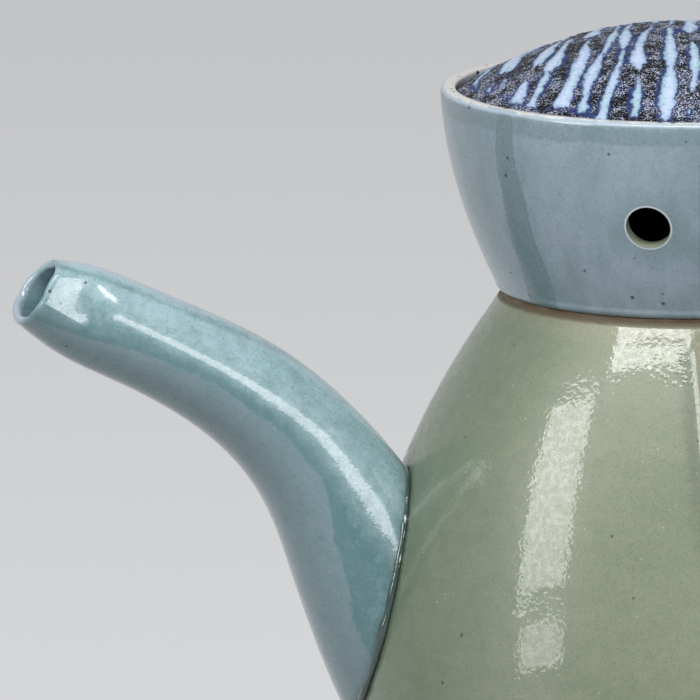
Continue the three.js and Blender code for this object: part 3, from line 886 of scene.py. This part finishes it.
def joint_distance(points, path):
    """Distance from each point to the nearest of every third point of a path."""
    nearest = np.full(len(points), 1.0)
    for corner in path[::3]:
        nearest = np.minimum(nearest, np.linalg.norm(points - corner, axis=1))
    return nearest


def pooled(gap, full=0.3 * MM):
    """How much glaze pools this far from a joint."""
    return 0.8 * np.exp(-np.maximum(gap - full, 0) / (0.5 * MM))


def spout_joint(sizes, line, depth=0.0, count=240):
    """Where the spout's outside stands this far above the wall: shares and points."""
    lines = spout_frame(sizes)
    turn = around(count)

    def surface(share, angle):
        return spout_point(lines, share, angle, 0.0)

    share = meet_wall(line, surface, turn, 0.0, 0.6, depth)
    return share, surface(share, turn)


def handle_surface(sizes, line):
    """A function for points on the strap at shares of its length and angles round it."""
    top = radius_at(line, sizes.handle_top)
    low = radius_at(line, sizes.handle_low)
    sink = 3 * MM
    middle = (sizes.handle_top + sizes.handle_low) / 2 + 6 * MM
    bow = radius_at(line, middle) + sizes.handle_gap + sizes.handle_thickness / 2
    corners = np.array([
        [top - sink, sizes.handle_top - 1 * MM],
        [top + 0.36 * (bow - top), sizes.handle_top + 6.5 * MM],
        [bow - 6 * MM, sizes.handle_top],
        [bow, middle],
        [bow - 8 * MM, sizes.handle_low + 12 * MM],
        [low - sink, sizes.handle_low],
    ])
    chords = np.concatenate([[0], np.cumsum(np.linalg.norm(np.diff(corners, axis=0), axis=1))])
    centre = smooth_line(chords / chords[-1], corners)
    step, flare_reach = 1e-4, 0.07

    def surface(share, turn):
        along = centre(share + step) - centre(share - step)
        along /= np.linalg.norm(along, axis=-1)[..., None]
        ends = np.exp(-share / flare_reach) + np.exp((share - 1) / flare_reach)
        flare = sizes.handle_flare * ends
        width = sizes.handle_top_width + share * (
            sizes.handle_low_width - sizes.handle_top_width) + flare
        thickness = sizes.handle_thickness + flare / 2
        groove = sizes.handle_groove * np.maximum(np.cos(turn), 0) ** 4
        lift = thickness / 2 * np.cos(turn) - groove
        spot = centre(share)
        return np.stack([spot[..., 0] - along[..., 1] * lift,
                         -width / 2 * np.sin(turn),
                         spot[..., 1] + along[..., 0] * lift], -1)

    return surface


def handle_joints(line, surface, turn, depth):
    """The shares at which the strap's ends stand this far above the wall."""

    def backwards(share, angle):
        return surface(1 - share, angle)

    top = meet_wall(line, surface, turn, 0.0, 0.3, depth)
    low = 1 - meet_wall(line, backwards, turn, 0.0, 0.3, depth)
    return top, low


class CRUET_OT_body(bpy.types.Operator):
    """The thrown and pinched body wall, the slab under it and the ring on its neck"""
    bl_idname = "cruet.body"
    bl_label = "Body"

    def execute(self, context):
        sizes, colours = settings()
        line = body_outline(sizes)
        wall = self.make_wall(sizes, line)
        self.mark_glaze(wall, sizes, line)
        dress(wall, "vessel", "body_wall", sage_glaze(colours))
        slab = self.make_slab(line)
        dress(slab, "vessel", "base_slab", foot_glaze(colours))
        ring = self.make_ring(sizes, line)
        dress(ring, "vessel", "neck_ring", brown_glaze(colours))
        return {"FINISHED"}

    def make_wall(self, sizes, line):
        top, bottom = WALL_HIGH.z, WALL_LOW.z
        outer = between(line, top, bottom)
        inner = between(inset(line, sizes.body_wall), top, bottom, 1.5 * MM)

        def relief(turn, radius, height, outward):
            """Darts, throwing rings and soft unevenness, level at both ends of the wall."""
            lift = dart_lift(sizes, line, turn, height) * np.sign(outward)
            free = window(height, bottom, bottom + 3 * MM, top - 3 * MM, top)
            rings = np.sin(height / THROWING_RINGS * FULL_TURN + 1.4 * np.sin(turn))
            uneven = -0.06 * MM + 0.01 * MM * rings + 0.05 * MM * waves(turn, height, 3, 0.03)
            return lift + free * np.minimum(uneven, 0)

        wall = turn_profile("glazed_body", np.vstack([outer, inner[::-1]]), 500, relief)
        cut_out(wall, self.port_drill(sizes))
        return wall

    def port_drill(self, sizes):
        """A level drill through the wall behind the spout."""
        radius, reach = sizes.port_radius, 20 * MM
        profile = np.array([[0, -reach], [radius, -reach], [radius, reach], [0, reach]])
        drill = turn_profile("port_drill", profile, 64)
        place = Matrix.Translation((-sizes.belly_radius + 8 * MM, 0, sizes.spout_root))
        drill.data.transform(place @ Matrix.Rotation(math.pi / 2, 4, "Y"))
        return drill

    def mark_glaze(self, wall, sizes, line):
        """Thin at the neck and on the darts, darkened by painted shade on the spout's side, pooled
        in creases.
        """
        points = positions(wall)
        turn, height = turn_of(points), points[:, 2]
        top, side = WALL_HIGH.z, shade_on_spout_side(turn)
        aside = from_darts(line, turn, height)
        crest = dart_lift(sizes, line, turn, height) / sizes.dart_height
        # Painted shade: the warm neck is toned down on the spout's side.
        neck = smoothstep(height, top - 16 * MM, top) * (1 - 0.5 * side)
        neck_edge = smoothstep(height, top - 3 * MM, top - 0.5 * MM)
        mark(wall, "thin", np.clip(0.5 * crest + 0.32 * neck + 0.25 * neck_edge, 0, 1))
        mark(wall, "crest", crest)
        # Painted shade on the spout's side of the body.
        mark(wall, "glaze_depth_and_shade", 0.75 * side)
        beside_dart = window(aside, 4.5 * MM, 5.5 * MM, 8 * MM, 12 * MM)
        shoulder = window(height, top - 8.5 * MM, top - 6.5 * MM, top - 4 * MM, top - 2 * MM)
        mark(wall, "pebbled", beside_dart * shoulder)
        _, joint = spout_joint(sizes, line)
        pool = pooled(joint_distance(points, joint), 0.4 * MM)
        crease = np.exp(-((aside - 1.45 * sizes.dart_half_width) / (1.1 * MM)) ** 2)
        crease *= dart_fade(sizes, height) * np.cos(turn) ** 2
        mark(wall, "pool", np.clip(pool + 0.3 * crease, 0, 0.85))

    def make_slab(self, line):
        edge = between(line, SLAB_HIGH.z, 0, 0.35 * MM)
        profile = np.vstack([[[0, SLAB_HIGH.z]], edge, [[0, 0]]])
        profile = densify(soften(profile, 0.5 * MM), 2.5 * MM)
        return turn_profile("glazed_slab", profile, 360)

    def make_ring(self, sizes, line):
        """A flat ring. Only its upper corners are rounded, because the wall meets it below."""
        low, high = RING_LOW.z, RING_HIGH.z
        profile = np.array([
            [sizes.neck_bore, high], [radius_at(line, high), high],
            [radius_at(line, low), low], [sizes.neck_bore, low]])
        steps = 7
        rounded = soften(profile, 0.25 * MM, steps)[:2 * steps]
        rounded = np.vstack([rounded, profile[2:]])
        return turn_profile("glazed_neck", densify(rounded, 0.5 * MM), 360)


class CRUET_OT_spout(bpy.types.Operator):
    """The hollow side spout with its bevelled mouth, and the glaze pooled at its root"""
    bl_idname = "cruet.spout"
    bl_label = "Spout"

    def execute(self, context):
        sizes, colours = settings()
        line = body_outline(sizes)
        lines = spout_frame(sizes)
        spout = self.make_tube(sizes, line, lines)
        self.mark_glaze(spout, line, lines)
        dress(spout, "vessel", "spout", blue_glaze(colours))
        _, joint = spout_joint(sizes, line, BEAD_RISE)
        bead = make_bead("spout_glaze_bead", joint, 0.62 * MM, 11, thin_end=0.6)
        dress(bead, "vessel", None, pooled_glaze(colours))
        return {"FINISHED"}

    def make_tube(self, sizes, line, lines, count=200, steps=190):
        """The outside, the rounded lip and the bore, from inside the wall to the mouth."""
        root_wall, lip_wall = sizes.spout_root_wall, sizes.spout_lip_wall

        def bore(share, angle):
            wall = root_wall + share * (lip_wall - root_wall)
            return spout_point(lines, share, angle, wall)

        turn = around(count)
        start, _ = spout_joint(sizes, line, -SPOUT_SINK, count)
        bore_start = meet_wall(line, bore, turn, 0.0, 0.7, -SPOUT_SINK)
        mouth = 1 - self.mouth_wave(turn)
        along = np.linspace(0, 1, steps)[:, None]
        outer = spout_point(lines, start + (mouth - start) * along, turn[None, :], 0.0)
        inner = bore((bore_start + (mouth - bore_start) * along)[::-1], turn[None, :])
        lip_turn = np.linspace(0, math.pi, 9)[1:-1, None]
        lip = spout_point(lines, np.repeat(mouth[None], len(lip_turn), axis=0), turn[None, :],
                          lip_wall / 2 * (1 - np.cos(lip_turn)), lip_wall / 2 * np.sin(lip_turn))
        spout = grid_mesh("glazed_spout", np.concatenate([outer, lip, inner]))
        close_poles(spout)
        return spout

    def mouth_wave(self, turn):
        """How far the cut mouth falls back from its plane, as a share of the length."""
        wave = 0.5 * np.sin(2 * turn + 0.8) + 0.35 * np.sin(3 * turn + 2) + 0.2 * np.sin(7 * turn)
        near_side = (1 - np.sin(turn)) / 2
        return 0.005 * (wave + 1) + 0.026 * near_side

    def mark_glaze(self, spout, line, lines):
        """Thin glaze at the lip, darker near the root, painted shade on the underside, a painted
        dark reflection below the upper line, painted pale lines of reflected light along the upper
        and lower lines, and a painted reflection of the pale floor below.
        """
        points = positions(spout)
        shares = np.linspace(0, 1, 400)
        upper, lower, _ = lines
        middle = (upper(shares) + lower(shares)) / 2
        flat = points[:, [0, 2]]
        nearest = np.array([np.argmin(np.sum((middle - p) ** 2, axis=1)) for p in flat])
        along = shares[nearest]
        up = upper(along) - middle[nearest]
        rise = np.sum((flat - middle[nearest]) * up, axis=1) / np.sum(up * up, axis=1)
        gap = np.abs(above_wall(line, points))
        # Painted shade darkens the underside, and a painted dark reflection runs just below the
        # upper line.
        underside = 1 - smoothstep(rise, -0.1, 0.8)
        dark_reflection_under_top = 0.42 * np.exp(-((rise - 0.86) / 0.045) ** 2)
        root = np.exp(-gap / (11 * MM)) * (0.1 + 0.45 * (1 - smoothstep(rise, 0.1, 0.4)))
        mark(spout, "glaze_depth_and_shade", np.clip(0.08 + 0.55 * underside + dark_reflection_under_top + root, 0, 1))
        # Painted reflection of the pale floor below this wavy line, in millimetres from it.
        floor_reflection_edge = (0.02 - 1.93 * np.maximum(along - 0.4, 0) ** 2.1
                     - 1.33 * np.maximum(0.35 - along, 0) ** 1.25
                     + 0.012 * np.sin(along * 43) + 0.018 * np.sin(along * 19 + 1))
        half_height = np.linalg.norm(up, axis=1)
        mark(spout, "grey_blue_and_floor_reflection", np.clip((floor_reflection_edge - rise) * half_height / MM, -4, 4))
        # Painted reflected light along the upper and lower lines, and thin glaze at the lip.
        edge = np.exp(-((np.abs(rise) - 1) / 0.045) ** 2)
        lip = smoothstep(along, 0.985, 1)
        mark(spout, "edge", np.clip(0.75 * edge + 0.6 * lip, 0, 1))
        mark(spout, "pool", pooled(gap))


class CRUET_OT_handle(bpy.types.Operator):
    """The pulled strap handle with its thumb groove and the glaze pooled at its ends"""
    bl_idname = "cruet.handle"
    bl_label = "Handle"

    def execute(self, context):
        sizes, _ = settings()
        line = body_outline(sizes)
        surface = handle_surface(sizes, line)
        turn = around(160)
        strap = self.make_strap(line, surface, turn)
        self.mark_glaze(strap, sizes, line)
        material = bpy.data.materials["blue_celadon"]
        dress(strap, "vessel", "handle", material)
        top, low = handle_joints(line, surface, turn, BEAD_RISE)
        material = bpy.data.materials["pooled_glaze"]
        for name, share, seed in (("upper", top, 21), ("lower", low, 22)):
            path = surface(share, turn)
            bead = make_bead(f"handle_{name}_glaze_bead", path, 0.35 * MM, seed)
            dress(bead, "vessel", None, material)
        return {"FINISHED"}

    def make_strap(self, line, surface, turn, steps=260):
        top, low = handle_joints(line, surface, turn, -HANDLE_SINK)
        points = surface(top + (low - top) * np.linspace(0, 1, steps)[:, None], turn[None, :])
        first, last = (np.repeat(points[i].mean(axis=0)[None, None], len(turn), axis=1)
                       for i in (0, -1))
        rings = np.concatenate([first, points, last])
        strap = grid_mesh("glazed_handle", rings, wrap_rows=False)
        close_poles(strap)
        return strap

    def mark_glaze(self, strap, sizes, line):
        """Thin along both edges, streaked where the hand pulled it, with a painted reflection of
        the pale floor on its lower part.
        """
        points = positions(strap)
        y, height = points[:, 1], points[:, 2]
        gap = np.abs(above_wall(line, points))
        side = np.abs(y) / (sizes.handle_low_width / 2)
        drawn = 0.16 * np.sin(y / (1.9 * MM) + 12 * height / sizes.handle_top)
        near_wall = 0.4 * np.exp(-gap / (7 * MM))
        glaze_depth_and_shade = 0.5 - 0.45 * smoothstep(side, 0.6, 1.1) + drawn + near_wall
        mark(strap, "glaze_depth_and_shade", np.clip(glaze_depth_and_shade, 0, 1))
        mark(strap, "pool", pooled(gap))
        # Painted reflection of the pale floor on the strap's lower part.
        reflection_height = sizes.handle_low + 0.42 * (sizes.handle_top - sizes.handle_low)
        mark(strap, "grey_blue_and_floor_reflection", np.clip((reflection_height - height) / MM, -4, 4))
        mark(strap, "edge", 0.5 * np.exp(-((side - 1.05) / 0.08) ** 2))


# The lid

def cup_line(sizes, count=90):
    """The flaring outside of the lid, from its rounded foot to below the rim."""
    seat, rise = sizes.seat_height, LID_HIGH.z - sizes.seat_height
    flare = sizes.rim_radius - sizes.lid_foot_radius
    return bezier(
        (sizes.lid_foot_radius, seat + sizes.lid_foot_round),
        (sizes.lid_foot_radius + flare / 2, seat + 0.31 * rise),
        (sizes.rim_radius - 0.3 * MM, seat + 0.66 * rise),
        (sizes.rim_radius, LID_HIGH.z - sizes.rim_round), count)


class CRUET_OT_lid_wall(bpy.types.Operator):
    """The flaring wall of the lid with its vent hole, and the locating ring below it"""
    bl_idname = "cruet.lid_wall"
    bl_label = "Lid wall"

    def execute(self, context):
        sizes, colours = settings()
        cup = cup_line(sizes)
        wall = turn_profile("glazed_lid_wall", self.profile(sizes, cup), 416, self.relief)
        cut_out(wall, self.vent_cutter(sizes, cup))
        self.mark_glaze(wall, sizes, cup)
        place, axis, _ = self.vent_frame(sizes, cup)
        glaze = cup_glaze(colours, sizes, place, axis)
        dress(wall, "lid", "lid_wall", glaze)
        flange = self.make_flange(sizes)
        dress(flange, "lid", "lid_flange", bare_clay(colours))
        return {"FINISHED"}

    def profile(self, sizes, cup):
        """Foot, cup, rim, the dome's ledge, the hollow and the floor, as one closed line."""
        seat, rim = sizes.seat_height, LID_HIGH.z
        floor, ledge = seat + sizes.lid_floor, rim - sizes.ledge_depth
        foot_round, rim_round = sizes.lid_foot_round, sizes.rim_round
        flange_inner = FLANGE_HIGH.x - sizes.flange_wall
        foot = arc((sizes.lid_foot_radius - foot_round, seat + foot_round), foot_round,
                   -90, 0, 9)[:-1]
        top = arc((sizes.rim_radius - rim_round, rim - rim_round), rim_round, 0, 90, 9)[1:]
        outer_ledge = sizes.rim_radius - sizes.rim_wall
        inner_ledge = outer_ledge - sizes.ledge_width
        inner = inset(cup, -sizes.lid_wall)
        inner = inner[(inner[:, 1] > floor + 1.5 * MM)
                      & (inner[:, 1] < ledge - 2 * sizes.ledge_width)][::-1]
        profile = np.vstack([
            [[flange_inner, seat]], foot, cup, top,
            [[outer_ledge, rim], [outer_ledge, ledge],
             [inner_ledge, ledge], [inner_ledge, ledge - sizes.ledge_width / 2]],
            inner,
            [[inner[-1, 0] - 0.8 * MM, floor], [flange_inner, floor]],
        ])
        return densify(soften(profile, 0.5 * MM), 0.6 * MM)

    def relief(self, turn, radius, height, outward):
        """A slightly uneven rim and wall, kept within the cup's own outline."""
        outside = outward > 0.3
        free = smoothstep(height, LID_LOW.z + 3 * MM, LID_LOW.z + 9 * MM)
        uneven = np.minimum(0.1 * MM * waves(turn, height, 8, 0.012) - 0.08 * MM, 0)
        return uneven * free * outside

    def vent_frame(self, sizes, cup):
        """The vent's middle in the wall, its axis square to the wall, and sideways."""
        height = sizes.seat_height + sizes.vent_height
        radius = np.interp(height, cup[:, 1], cup[:, 0])
        slope = (np.interp(height + MM, cup[:, 1], cup[:, 0]) - radius) / MM
        level = np.array([-math.sin(sizes.vent_turn), -math.cos(sizes.vent_turn), 0])
        axis = (level - np.array([0, 0, slope])) / math.hypot(1, slope)
        middle = level * radius + np.array([0, 0, height]) - axis * sizes.lid_wall / 2
        return middle, axis, np.array([-level[1], level[0], 0])

    def vent_cutter(self, sizes, cup):
        """A drill with slightly flared ends, which leave the hole a soft edge."""
        half = sizes.lid_wall / 2
        flare_depth = 0.25 * MM
        along = np.linspace(-1, 1, 41)
        flare = flare_depth * np.clip((np.abs(along) - 0.75) / 0.25, 0, 1) ** 2
        middle = np.column_stack([sizes.vent_radius - flare_depth + flare, along * half * 1.02])
        far = half + 4 * MM
        wide = sizes.vent_radius + 2.5 * MM
        profile = np.vstack([[[0, -far], [wide, -far]], middle, [[wide, far], [0, far]]])
        cutter = turn_profile("vent_drill", profile, 72)
        points = positions(cutter)
        place, axis, sideways = self.vent_frame(sizes, cup)
        up = np.cross(axis, sideways)
        placed = place + points[:, 2:] * axis + points[:, :1] * sideways + points[:, 1:2] * up
        cutter.data.vertices.foreach_set("co", placed.ravel())
        close_poles(cutter)
        return cutter

    def mark_glaze(self, wall, sizes, cup):
        """Runs that widen as they fall, at angles in degrees from the front, and painted shade on
        the spout's side.
        """
        points = positions(wall)
        turn, height = turn_of(points), points[:, 2]
        radius = np.hypot(points[:, 0], points[:, 1])
        wander = 0.01 * np.sin(height / THROWING_RINGS) + 0.006 * np.sin(height / (1.9 * MM))
        far_out = -4.0
        run = np.full(len(points), far_out)
        fallen = (LID_HIGH.z - height) / (LID_HIGH.z - sizes.seat_height)
        for place, width in ((57, 1.0), (-58, 0.6), (-104, 1.3), (-161, 0.8), (122, 1.1)):
            middle = math.radians(place) + 0.025 * fallen + wander
            away = (turn - middle + math.pi) % FULL_TURN - math.pi
            half = width * (0.045 + 0.063 * fallen)
            run = np.maximum(run, (half - np.abs(away)) * radius / MM)
        outside = radius > np.interp(height, cup[:, 1], cup[:, 0]) - 1 * MM
        mark(wall, "run", np.where(outside, run, far_out))
        # Painted shade on the spout's side.
        mark(wall, "glaze_depth_and_shade", shade_on_spout_side(turn))

    def make_flange(self, sizes):
        radius, low, high = FLANGE_HIGH.x, FLANGE_LOW.z, FLANGE_HIGH.z
        inner, chamfer = radius - sizes.flange_wall, 0.8 * MM
        profile = np.array([[radius, high], [radius, low + chamfer],
                            [radius - chamfer, low], [inner, low], [inner, high]])
        return turn_profile("clay_flange", densify(soften(profile, 0.5 * MM), 0.7 * MM), 300)


class CRUET_OT_dome(bpy.types.Operator):
    """The low cap of the lid with its thick front-to-back glaze streaks"""
    bl_idname = "cruet.dome"
    bl_label = "Dome"

    def execute(self, context):
        sizes, colours = settings()
        dome = self.make_cap(sizes)
        points = positions(dome)
        field = self.streak_field(sizes, points[:, 0], points[:, 1])
        on_top = points[:, 2] > DOME_EDGE - 1 * MM
        mark(dome, "streak", np.where(on_top, field, -STREAK_LIMIT))
        dress(dome, "lid", "lid_dome", dome_glaze(colours))
        return {"FINISHED"}

    def make_cap(self, sizes, rings=150, count=540):
        """The rough streaked top, its edge down to the ledge, and the smooth underside."""
        reach, crown = DOME_HIGH.x, DOME_HIGH.z
        ledge = LID_HIGH.z - sizes.ledge_depth
        turn = around(count)
        share, angle = np.meshgrid(np.linspace(0, 1, rings) ** 0.8, turn, indexing="ij")
        x, y = -reach * share * np.sin(angle), -reach * share * np.cos(angle)
        smooth_top = DOME_EDGE + (crown - DOME_EDGE) * (1 - share ** DOME_POWER)
        lumps = np.minimum(0.1 * MM * waves(angle, share * 0.05, 17, 0.01), 0)
        free = 1 - smoothstep(share, 0.93, 1)
        relief = STREAK_RISE * smoothstep(self.streak_field(sizes, x, y), -0.2, 0.5)
        relief += 0.1 * MM * self.grain(x, y) + lumps - 0.3 * MM
        z = smooth_top + relief * free - 0.15 * MM * (1 - free)
        top = np.stack([x, y, np.minimum(z, crown)], -1)
        rim = np.stack([x[-1], y[-1], np.full(count, ledge)], -1)[None]
        share = np.linspace(1, 0, 24)[:, None]
        reach = reach - sizes.ledge_width
        hollow = crown - sizes.dome_thickness - ledge
        under = np.stack([
            -reach * share * np.sin(turn), -reach * share * np.cos(turn),
            np.repeat(ledge + hollow * (1 - share ** DOME_POWER), count, axis=1)], -1)
        dome = grid_mesh("glazed_dome", np.concatenate([top, rim, under]), wrap_rows=False)
        close_poles(dome)
        return dome

    def streak_field(self, sizes, x, y):
        """Millimetres inside the nearest streak, below zero between two.

        The streaks are dragged from front to back towards a far point behind the lid,
        in strokes that swell, thin out and break off.
        """
        dice = np.random.default_rng(29)
        reach = DOME_HIGH.x
        far_x, far_y = 0.5 * reach, 2.7 * reach
        away = np.hypot(x - far_x, y - far_y)
        margin = reach - np.hypot(x, y)
        angle = np.arctan2(far_x - x, far_y - y)
        middle = math.atan2(far_x, far_y)
        spread = 1.04 * math.asin(reach / math.hypot(far_x, far_y))
        step = 2 * spread / sizes.streaks
        field = np.full(np.shape(x), -STREAK_LIMIT)
        for i in range(sizes.streaks):
            centre = middle - spread + (i + 0.5 + dice.uniform(-0.2, 0.2)) * step
            wander = 0.16 * np.sin(away / (dice.uniform(5, 9) * MM) + dice.uniform(0, 6))
            across = np.abs(angle - centre - wander * step) * away
            start = far_y - reach + dice.uniform(-10, 2) * MM
            while start < far_y + 1.15 * reach:
                stroke = dice.uniform(16, 46) * MM
                place = (away - start) / stroke
                fat = dice.uniform(0.24, 0.6) * step * far_y
                margin_left = margin - dice.uniform(0.4, 3.2) * MM
                inside = (place > 0) & (place < 1)
                within = np.clip(place, 0, 1)
                blunt = within ** dice.uniform(0.3, 0.9) * (1 - within ** 9) ** 0.5
                ripple = 1 + 0.25 * np.sin(away / (dice.uniform(1.5, 3) * MM) + dice.uniform(0, 6))
                depth = np.where(inside, (fat * blunt * ripple - across) / MM, -STREAK_LIMIT)
                ends = np.minimum(place, 1 - place) * stroke / MM
                depth = np.minimum(np.minimum(depth, ends), margin_left / MM)
                field = np.maximum(field, depth)
                start += stroke + dice.uniform(-1.5, 4) * MM
        return np.clip(field, -STREAK_LIMIT, STREAK_LIMIT)

    def grain(self, x, y):
        """Fine roughness of the dry ground."""
        flat = np.column_stack([x.ravel(), y.ravel()]) / (0.9 * MM)
        values = [noise.noise(Vector((a, b, 3.0))) for a, b in flat]
        return np.array(values).reshape(x.shape)


# The stage

def direction(azimuth, elevation):
    """Unit vector towards a place seen from the object. Azimuth 0 is the front."""
    azimuth, elevation = math.radians(azimuth), math.radians(elevation)
    return Vector((math.sin(azimuth) * math.cos(elevation),
                   -math.cos(azimuth) * math.cos(elevation), math.sin(elevation)))


def place_facing(name, data, spot, away, roll=0):
    """Puts a lamp or camera at a spot, looking back along a direction."""
    holder = bpy.data.objects.new(name, data)
    holder.location = spot
    holder.rotation_mode = "QUATERNION"
    aimed = (-away).to_track_quat("-Z", "Y")
    holder.rotation_quaternion = aimed @ Quaternion((0, 0, 1), math.radians(roll))
    bpy.context.collection.objects.link(holder)
    return holder


def seen_rays(tree):
    """One for rays from the eye and through gloss or glass, zero for lighting rays."""
    rays = add_node(tree, "LightPath")
    total = rays.outputs["Is Camera Ray"]
    for name in ("Is Glossy Ray", "Is Transmission Ray"):
        larger = add_node(tree, "Math", operation="MAXIMUM")
        tree.links.new(total, larger.inputs[0])
        tree.links.new(rays.outputs[name], larger.inputs[1])
        total = larger.outputs[0]
    return total


class CRUET_OT_stage(bpy.types.Operator):
    """The floor, the soft lamps and the camera"""
    bl_idname = "cruet.stage"
    bl_label = "Stage"

    def execute(self, context):
        self.make_floor()
        self.make_world()
        self.make_lamp("tall_left_softbox", -70, 29, (0.35, 0.57), 8.4, roll=22, fade=0.7)
        self.make_lamp("low_left_softbox", -62, 9.5, (0.3, 0.13), 5.0, roll=15)
        self.make_lamp("overhead_softbox", -22, 61, (1.05, 0.22), 11.5)
        self.make_lamp("front_softbox", 24, 22.5, (0.98, 0.22), 7.0)
        self.make_lamp("right_softbox", 68, 21, (0.6, 0.2), 6.5)
        self.make_camera()
        return {"FINISHED"}

    def make_floor(self):
        """A wide level floor that stays pale to the eye and keeps the shadow."""
        across = np.linspace(-FLOOR_REACH, FLOOR_REACH, 9)
        x, y = np.meshgrid(across, across)
        points = np.stack([x, y, np.zeros_like(x)], -1)
        floor = grid_mesh("floor", points, wrap_rows=False, wrap_columns=False)
        material = bpy.data.materials.new("pale_floor")
        material.use_nodes = True
        tree = material.node_tree
        shader = tree.nodes["Principled BSDF"]
        shader.inputs["Roughness"].default_value = 0.9
        shader.inputs["Specular IOR Level"].default_value = 0.1
        shader.inputs["Base Color"].default_value = (*FLOOR_COLOUR, 1)
        shader.inputs["Emission Color"].default_value = (*FLOOR_GLOW, 1)
        glow = add_node(tree, "Math", operation="MULTIPLY")
        glow.inputs[1].default_value = FLOOR_GLOW_STRENGTH
        tree.links.new(seen_rays(tree), glow.inputs[0])
        tree.links.new(glow.outputs[0], shader.inputs["Emission Strength"])
        floor.data.materials.append(material)

    def make_world(self):
        """A pale grey room to the eye, which lights the object only a little."""
        world = bpy.data.worlds.new("studio")
        bpy.context.scene.world = world
        world.use_nodes = True
        tree = world.node_tree
        back = tree.nodes["Background"]
        room = add_node(tree, "Mix", data_type="RGBA")
        room.inputs["A"].default_value = (*ROOM_LIGHT, 1)
        room.inputs["B"].default_value = (*ROOM_SEEN, 1)
        tree.links.new(seen_rays(tree), room.inputs["Factor"])
        tree.links.new(room.outputs["Result"], back.inputs["Color"])
        back.inputs["Strength"].default_value = 1

    def make_lamp(self, name, azimuth, elevation, size, brightness, roll=0, fade=1.0):
        """A soft box that can be rolled about its axis and dimmed at its lower edge."""
        lamp = bpy.data.lights.new(name, "AREA")
        lamp.shape = "RECTANGLE"
        lamp.size, lamp.size_y = size
        lamp.energy = brightness * math.pi * size[0] * size[1]
        away = direction(azimuth, elevation)
        place_facing(name, lamp, away * LAMP_DISTANCE + LAMP_AIM, away, roll)
        if fade < 1:
            self.dim_lower_edge(lamp, fade)

    def dim_lower_edge(self, lamp, fade):
        lamp.use_nodes = True
        tree = lamp.node_tree
        place = add_node(tree, "NewGeometry").outputs["Parametric"]
        split = add_node(tree, "SeparateXYZ")
        tree.links.new(place, split.inputs[0])
        grade = add_node(tree, "MapRange")
        grade.inputs["To Min"].default_value = fade
        grade.inputs["To Max"].default_value = 1
        tree.links.new(split.outputs["Y"], grade.inputs["Value"])
        tree.links.new(grade.outputs[0], tree.nodes["Emission"].inputs["Strength"])

    def make_camera(self):
        """A long lens a little to the spout's side, close in on spout, shoulder and lid."""
        back = direction(CAMERA_AZIMUTH, CAMERA_ELEVATION)
        right = direction(CAMERA_AZIMUTH + 90, 0)
        up = back.cross(right)
        neck = Vector((0, 0, RING_HIGH.z))
        aim = neck - right * (NECK_TO_RIGHT * VIEW_WIDTH) - up * (NECK_ABOVE * VIEW_WIDTH)
        data = bpy.data.cameras.new("photo_camera")
        data.sensor_width = 36
        data.lens = data.sensor_width * CAMERA_DISTANCE / VIEW_WIDTH
        data.clip_start, data.clip_end = 0.05, 20
        camera = place_facing("photo_camera", data, aim + back * CAMERA_DISTANCE, back)
        scene = bpy.context.scene
        scene.camera = camera
        scene.view_settings.view_transform = "Standard"


class CRUET_PT_panel(bpy.types.Panel):
    """Lists the cruet's pieces in the sidebar"""
    bl_idname = "CRUET_PT_panel"
    bl_label = "Celadon Cruet"
    bl_space_type = "VIEW_3D"
    bl_region_type = "UI"
    bl_category = "Cruet"

    def draw(self, context):
        for operator in OPERATORS:
            self.layout.operator(operator.bl_idname)
        for group in (context.scene.cruet_sizes, context.scene.cruet_colours):
            box = self.layout.box()
            for name in group.__annotations__:
                box.prop(group, name)


OPERATORS = (CRUET_OT_stage, CRUET_OT_body, CRUET_OT_spout, CRUET_OT_handle,
             CRUET_OT_lid_wall, CRUET_OT_dome)
CLASSES = (CruetSizes, CruetColours, *OPERATORS, CRUET_PT_panel)


def register():
    for cls in CLASSES:
        bpy.utils.register_class(cls)
    bpy.types.Scene.cruet_sizes = PointerProperty(type=CruetSizes)
    bpy.types.Scene.cruet_colours = PointerProperty(type=CruetColours)


def unregister():
    del bpy.types.Scene.cruet_colours
    del bpy.types.Scene.cruet_sizes
    for cls in reversed(CLASSES):
        bpy.utils.unregister_class(cls)


def main():
    register()
    for operator in OPERATORS:
        family, name = operator.bl_idname.split(".")
        getattr(getattr(bpy.ops, family), name)()


if __name__ == "__main__":
    main()
